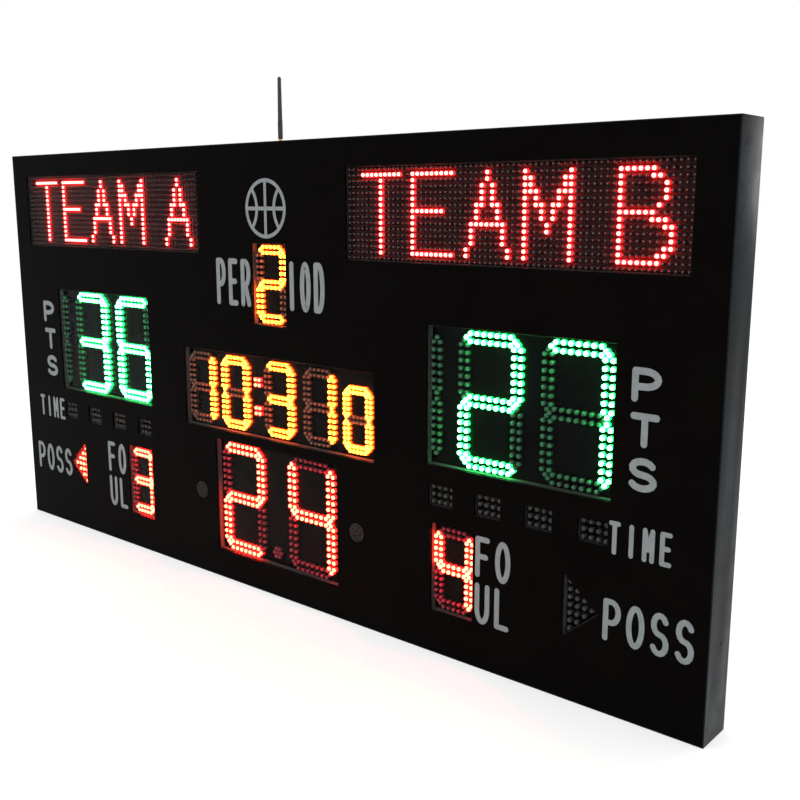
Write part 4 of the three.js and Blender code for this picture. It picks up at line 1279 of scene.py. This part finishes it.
# %% Rear screws
REAR_SCREW_RADIUS, REAR_SCREW_HEIGHT, REAR_SCREW_INSET = 3.6 * MM, 2.1 * MM, 10 * MM
REAR_COLUMNS, REAR_ROWS = 9, 4
HANGER_THICKNESS, HANGER_FOOT_INSET, HANGER_SCREW_RISE = 2 * MM, 11 * MM, 15 * MM
LEAF_THICKNESS, LEAF_SCREW_INSET, LEAF_SCREW_RISE = 1.5 * MM, 10 * MM, 18 * MM
LEAF_SCREW_RADIUS, LEAF_SCREW_HEIGHT, DOOR_LEAF_SCREW = 2.6 * MM, 1.3 * MM, 15 * MM

rear_screw = cross_screw("rear_screw", REAR_SCREW_RADIUS, REAR_SCREW_HEIGHT)
low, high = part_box("rear_panel")
cover_back = high.y
columns = np.linspace(low.x + REAR_SCREW_INSET, high.x - REAR_SCREW_INSET, REAR_COLUMNS)
rows = np.linspace(low.z + REAR_SCREW_INSET, high.z - REAR_SCREW_INSET, REAR_ROWS)
places = [(x, cover_back, z) for x in columns for z in (rows[0], rows[-1])]
places += [(x, cover_back, z) for x in (columns[0], columns[-1]) for z in rows[1:-1]]
screws("rear_cover_screws", rear_screw, places, "back", black_steel)

places = []
for side, _ in SIDES:
    low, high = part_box("wall_hanger_" + side)
    for x in (low.x + HANGER_FOOT_INSET, high.x - HANGER_FOOT_INSET):
        for z in (low.z + HANGER_SCREW_RISE, high.z - HANGER_SCREW_RISE):
            places.append((x, low.y + HANGER_THICKNESS, z))
screws("hanger_screws", rear_screw, places, "back", black_steel)

leaf_screw = cross_screw("leaf_screw", LEAF_SCREW_RADIUS, LEAF_SCREW_HEIGHT)
cover_places, door_places = [], []
for where in HEIGHTS:
    low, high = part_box("door_hinge_" + where)
    middle = (low.z + high.z) / 2
    for rise in (-LEAF_SCREW_RISE, LEAF_SCREW_RISE):
        cover_places.append((low.x + LEAF_SCREW_INSET, low.y + LEAF_THICKNESS, middle + rise))
    door_places.append((high.x + DOOR_LEAF_SCREW, low.y + 2 * LEAF_THICKNESS, middle))
screws("hinge_screws", leaf_screw, cover_places, "back", black_steel)
screws("door_leaf_screws", leaf_screw, door_places, "back", black_steel, "door")
for master in (rear_screw, leaf_screw):
    bpy.data.objects.remove(master)
print("rear screws placed")

# %% [markdown]
# ## Black plastics
#
# Buzzers, the mains inlet and the radio's case are moulded in glass-filled nylon, which comes out of the
# mould with a fine dull grain.

# %% Black nylon
black_nylon, tree = material("black_glass_filled_nylon")
shader = add(tree, "ShaderNodeBsdfPrincipled", {
    "Base Color": mottled(tree, "#0d0d0c", "#1a1a19", 6),
    "Roughness": patches(tree, 5, 0.42, 0.58), "Normal": relief(tree, 0.5, 0.02),
    "Specular IOR Level": 0.2,
})
add(tree, "ShaderNodeOutputMaterial", {"Surface": shader.outputs[0]})
for name in ("mains_inlet", "radio_receiver"):
    finished(name, black_nylon, edge_mm=0.3)
rocker = finished("power_rocker", black_nylon, "rocker", edge_mm=0.4, segments=3)
print("rocker faces", len(rocker.data.polygons))

# %% [markdown]
# The buzzers' perforated caps are the same nylon, but pale dust has settled in their grain and around
# their holes, so they look blotched. The hall's dust is drawn as 4 mm blotches of a warm grey.

# %% Buzzers
dusty_nylon, tree = material("dusty_black_nylon")
shader = add(tree, "ShaderNodeBsdfPrincipled", {
    "Base Color": mottled(tree, "#0b0b0a", "#403e3a", 4), "Roughness": 0.7,
    "Normal": relief(tree, 1.2, 0.05), "Specular IOR Level": 0.05,
})
add(tree, "ShaderNodeOutputMaterial", {"Surface": shader.outputs[0]})
for side, _ in SIDES:
    finished("buzzer_" + side, dusty_nylon, edge_mm=0.2)
print("buzzers", len(SIDES))

# %% [markdown]
# ## The antenna
#
# The antenna screws onto a brass connector, turned on a lathe and a little dulled by air, so that it
# shines warmly in patches. Its sleeve turns, its elbow folds, and the whip is a wire in a soft black
# rubber jacket, which is matt and a little grey.

# %% Brass and rubber
brass, tree = material("turned_brass")
shader = add(tree, "ShaderNodeBsdfPrincipled", {
    "Base Color": mottled(tree, "#b08a4c", "#caa566", 2), "Metallic": 1.0,
    "Roughness": patches(tree, 1.5, 0.2, 0.34),
})
add(tree, "ShaderNodeOutputMaterial", {"Surface": shader.outputs[0]})
rubber, tree = material("black_rubber_jacket")
shader = add(tree, "ShaderNodeBsdfPrincipled", {
    "Base Color": mottled(tree, "#1d1f20", "#282a2b", 5),
    "Roughness": patches(tree, 4, 0.45, 0.6), "Normal": relief(tree, 0.6, 0.01),
})
add(tree, "ShaderNodeOutputMaterial", {"Surface": shader.outputs[0]})
finished("antenna_connector", brass, edge_mm=0.2)
finished("antenna_swivel", rubber, "swivel", edge_mm=0.3)
finished("antenna_whip", rubber, "whip", edge_mm=0.2)
print("antenna pieces", 3)

# %% [markdown]
# ## Inlet pins and switch marks
#
# The socket of the mains inlet has three flat pins, plated as bright as the locks. The rocker has a bar
# and a ring on its two halves, each laid on the plane of the face that it marks. They are pad printed in
# a white ink, which is matt and slightly thin in places.

# %% Inlet pins
SOCKET_DROP, SOCKET_DEPTH = 16 * MM, 16 * MM
PIN_WIDTH, PIN_HEIGHT, PIN_SHORT = 2 * MM, 4 * MM, 2.5 * MM
PIN_PLACES = ((-7, -2), (7, -2), (0, 2))
low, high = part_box("mains_inlet")
socket_x, socket_z = (low.x + high.x) / 2, (low.z + high.z) / 2 - SOCKET_DROP
pins = []
for x, z in PIN_PLACES:
    foot = Vector((socket_x + x * MM, high.y - SOCKET_DEPTH, socket_z + z * MM))
    half = Vector((PIN_WIDTH / 2, 0, PIN_HEIGHT / 2))
    end = foot + Vector((0, SOCKET_DEPTH - PIN_SHORT, 0))
    pins.append(soften(block("pin", foot - half, end + half), 0.4))
fix(dress(join("inlet_pins", pins), bright_zinc))

# %% Switch marks
MARK_SPAN, MARK_STROKE, ROCKER_SLOPE = 1.6, 0.7, 0.7
white_ink, tree = material("white_pad_ink")
shader = add(tree, "ShaderNodeBsdfPrincipled", {
    "Base Color": mottled(tree, "#c9c9c5", "#d8d8d4", 2), "Roughness": 0.5,
})
add(tree, "ShaderNodeOutputMaterial", {"Surface": shader.outputs[0]})
marks = {1: [[(0, -MARK_SPAN), (0, MARK_SPAN)]],
         -1: [[(MARK_SPAN * x, MARK_SPAN * y) for x, y in part] for part in ring(0, 0, 1, 1)]}
rocker_faces = [face for face in rocker.data.polygons if face.normal.y > ROCKER_SLOPE]
rocker_middle = sum(face.center.z for face in rocker_faces) / len(rocker_faces)
shapes = []
for sign, strokes in marks.items():
    half = [face for face in rocker_faces if sign * (face.center.z - rocker_middle) > 0]
    face = max(half, key=lambda one: one.area)
    up = Vector((1, 0, 0)).cross(face.normal)
    plane = Matrix(((1, 0, 0), face.normal, up)).transposed().to_4x4()
    mark = ink_shape(strokes, MARK_STROKE)
    mark.data.transform(INK_SIZE)
    mark.data.transform(Matrix.Translation(face.center - MARK_SUNK * INK_THICKNESS * face.normal) @ plane)
    with editing(mark):
        face_outwards()
    shapes.append(mark)
fix(dress(join("rocker_marks", shapes), white_ink), "rocker")
print("inlet finished")

# %% [markdown]
# ## The control board
#
# Behind the door lies the control board. Its plate, its posts and its two large chips are one node, and
# get their materials by where their faces lie. The plate is glass laminate under a green lacquer, which
# gives it a wet shine. The plugs are moulded in white nylon, a warm, dull white. Small plugs,
# capacitors and flat chips are each modelled once and copied.

# %% Board materials
laminate, tree = material("green_glass_laminate")
shader = add(tree, "ShaderNodeBsdfPrincipled", {
    "Base Color": mottled(tree, "#1d5a35", "#174a2b", 6),
    "Roughness": patches(tree, 9, 0.25, 0.35),
})
add(tree, "ShaderNodeOutputMaterial", {"Surface": shader.outputs[0]})
white_nylon, tree = material("white_nylon")
shader = add(tree, "ShaderNodeBsdfPrincipled", {
    "Base Color": mottled(tree, "#cfcbc0", "#dad6cc", 5), "Roughness": 0.45,
    "Normal": relief(tree, 0.6, 0.005),
})
add(tree, "ShaderNodeOutputMaterial", {"Surface": shader.outputs[0]})

# %% Plate, posts and large chips
POST_LENGTH, PLATE_THICKNESS, PLATE_SKIN = 6 * MM, 1.6 * MM, 0.05 * MM
circuit = dress(refined("control_board", 0.2), laminate, black_nylon, brass)
low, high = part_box("control_board")
plate_back = low.y + POST_LENGTH + PLATE_THICKNESS
for face in circuit.data.polygons:
    if face.center.y > plate_back + PLATE_SKIN:
        face.material_index = 1
    elif face.center.y < low.y + POST_LENGTH - PLATE_SKIN:
        face.material_index = 2
fix(circuit, replaces=["control_board"])
board_middle = (low + high) / 2

# %% Small parts of the board
PLUG_HALF, PLUG_DEPTH, PLUG_SIDE, PLUG_WALL = 11 * MM, 8 * MM, 3.5 * MM, 1 * MM
CAN_RADIUS, CAN_HEIGHT, CAN_RIM, CAN_STEP, CAN_SIDES = 4.5 * MM, 9.5 * MM, 0.6 * MM, 0.3 * MM, 24
CHIP_HALF, CHIP_DEPTH, CHIP_SIDE, CHIP_RISE = 8 * MM, 2.4 * MM, 4.5 * MM, 0.3 * MM
LEG_COUNT, LEG_PITCH, LEG_REACH, LEG_HALF, LEG_THICKNESS = 8, 1.9 * MM, 1.8 * MM, 0.3 * MM, 0.4 * MM

plug = block("plug", (-PLUG_HALF, 0, -PLUG_SIDE), (PLUG_HALF, PLUG_DEPTH, PLUG_SIDE))
with editing(plug):
    pick_faces(plug, towards_back)
    bpy.ops.mesh.inset(thickness=PLUG_WALL)
    pull(PLUG_DEPTH - 1.5 * PLUG_WALL)
dress(soften(plug, 0.25), white_nylon)
can = rod("can", CAN_RADIUS, (0, 0, 0), (0, CAN_HEIGHT, 0), CAN_SIDES)
dress(can, black_nylon, bright_zinc)
with editing(can):
    pick_faces(can, towards_back)
    bpy.ops.mesh.inset(thickness=CAN_RIM)
    pull(CAN_STEP)
soften(can, 0.3)
for face in can.data.polygons:
    inner = math.hypot(face.center.x, face.center.z) < CAN_RADIUS - CAN_RIM
    face.material_index = int(inner and face.center.y > CAN_HEIGHT / 2)
chip = block("chip", (-CHIP_HALF, CHIP_RISE, -CHIP_SIDE), (CHIP_HALF, CHIP_DEPTH, CHIP_SIDE))
dress(soften(chip, 0.2), black_nylon)
legs = []
reach = CHIP_SIDE + LEG_REACH
for i in range(LEG_COUNT):
    x = (i - (LEG_COUNT - 1) / 2) * LEG_PITCH
    legs.append(block("leg", (x - LEG_HALF, 0, -reach), (x + LEG_HALF, LEG_THICKNESS, reach)))
legs = dress(soften(join("legs", legs), 0.08, 1), bright_zinc)

# Rows and columns of each kind about the middle of the board, in mm
PLUG_GRID = ((-69, 69), range(-96, 97, 32))
CAN_GRID = ((-46, 40), (-104, -90, 90, 104))
CHIP_GRID = ((-38, 38), (-54, -18, 18, 54))
kinds = (
    ("board_plugs", plug, PLUG_GRID),
    ("board_capacitors", can, CAN_GRID),
    ("board_chips", chip, CHIP_GRID),
    ("board_chip_legs", legs, CHIP_GRID),
)
for name, master, (rows, columns) in kinds:
    spots = [(x * MM, plate_back, board_middle.z + z * MM) for z in rows for x in columns]
    copies = [twin(master, name, spot) for spot in spots]
    bpy.data.objects.remove(master)
    fix(join(name, copies))
    print(name, len(spots))
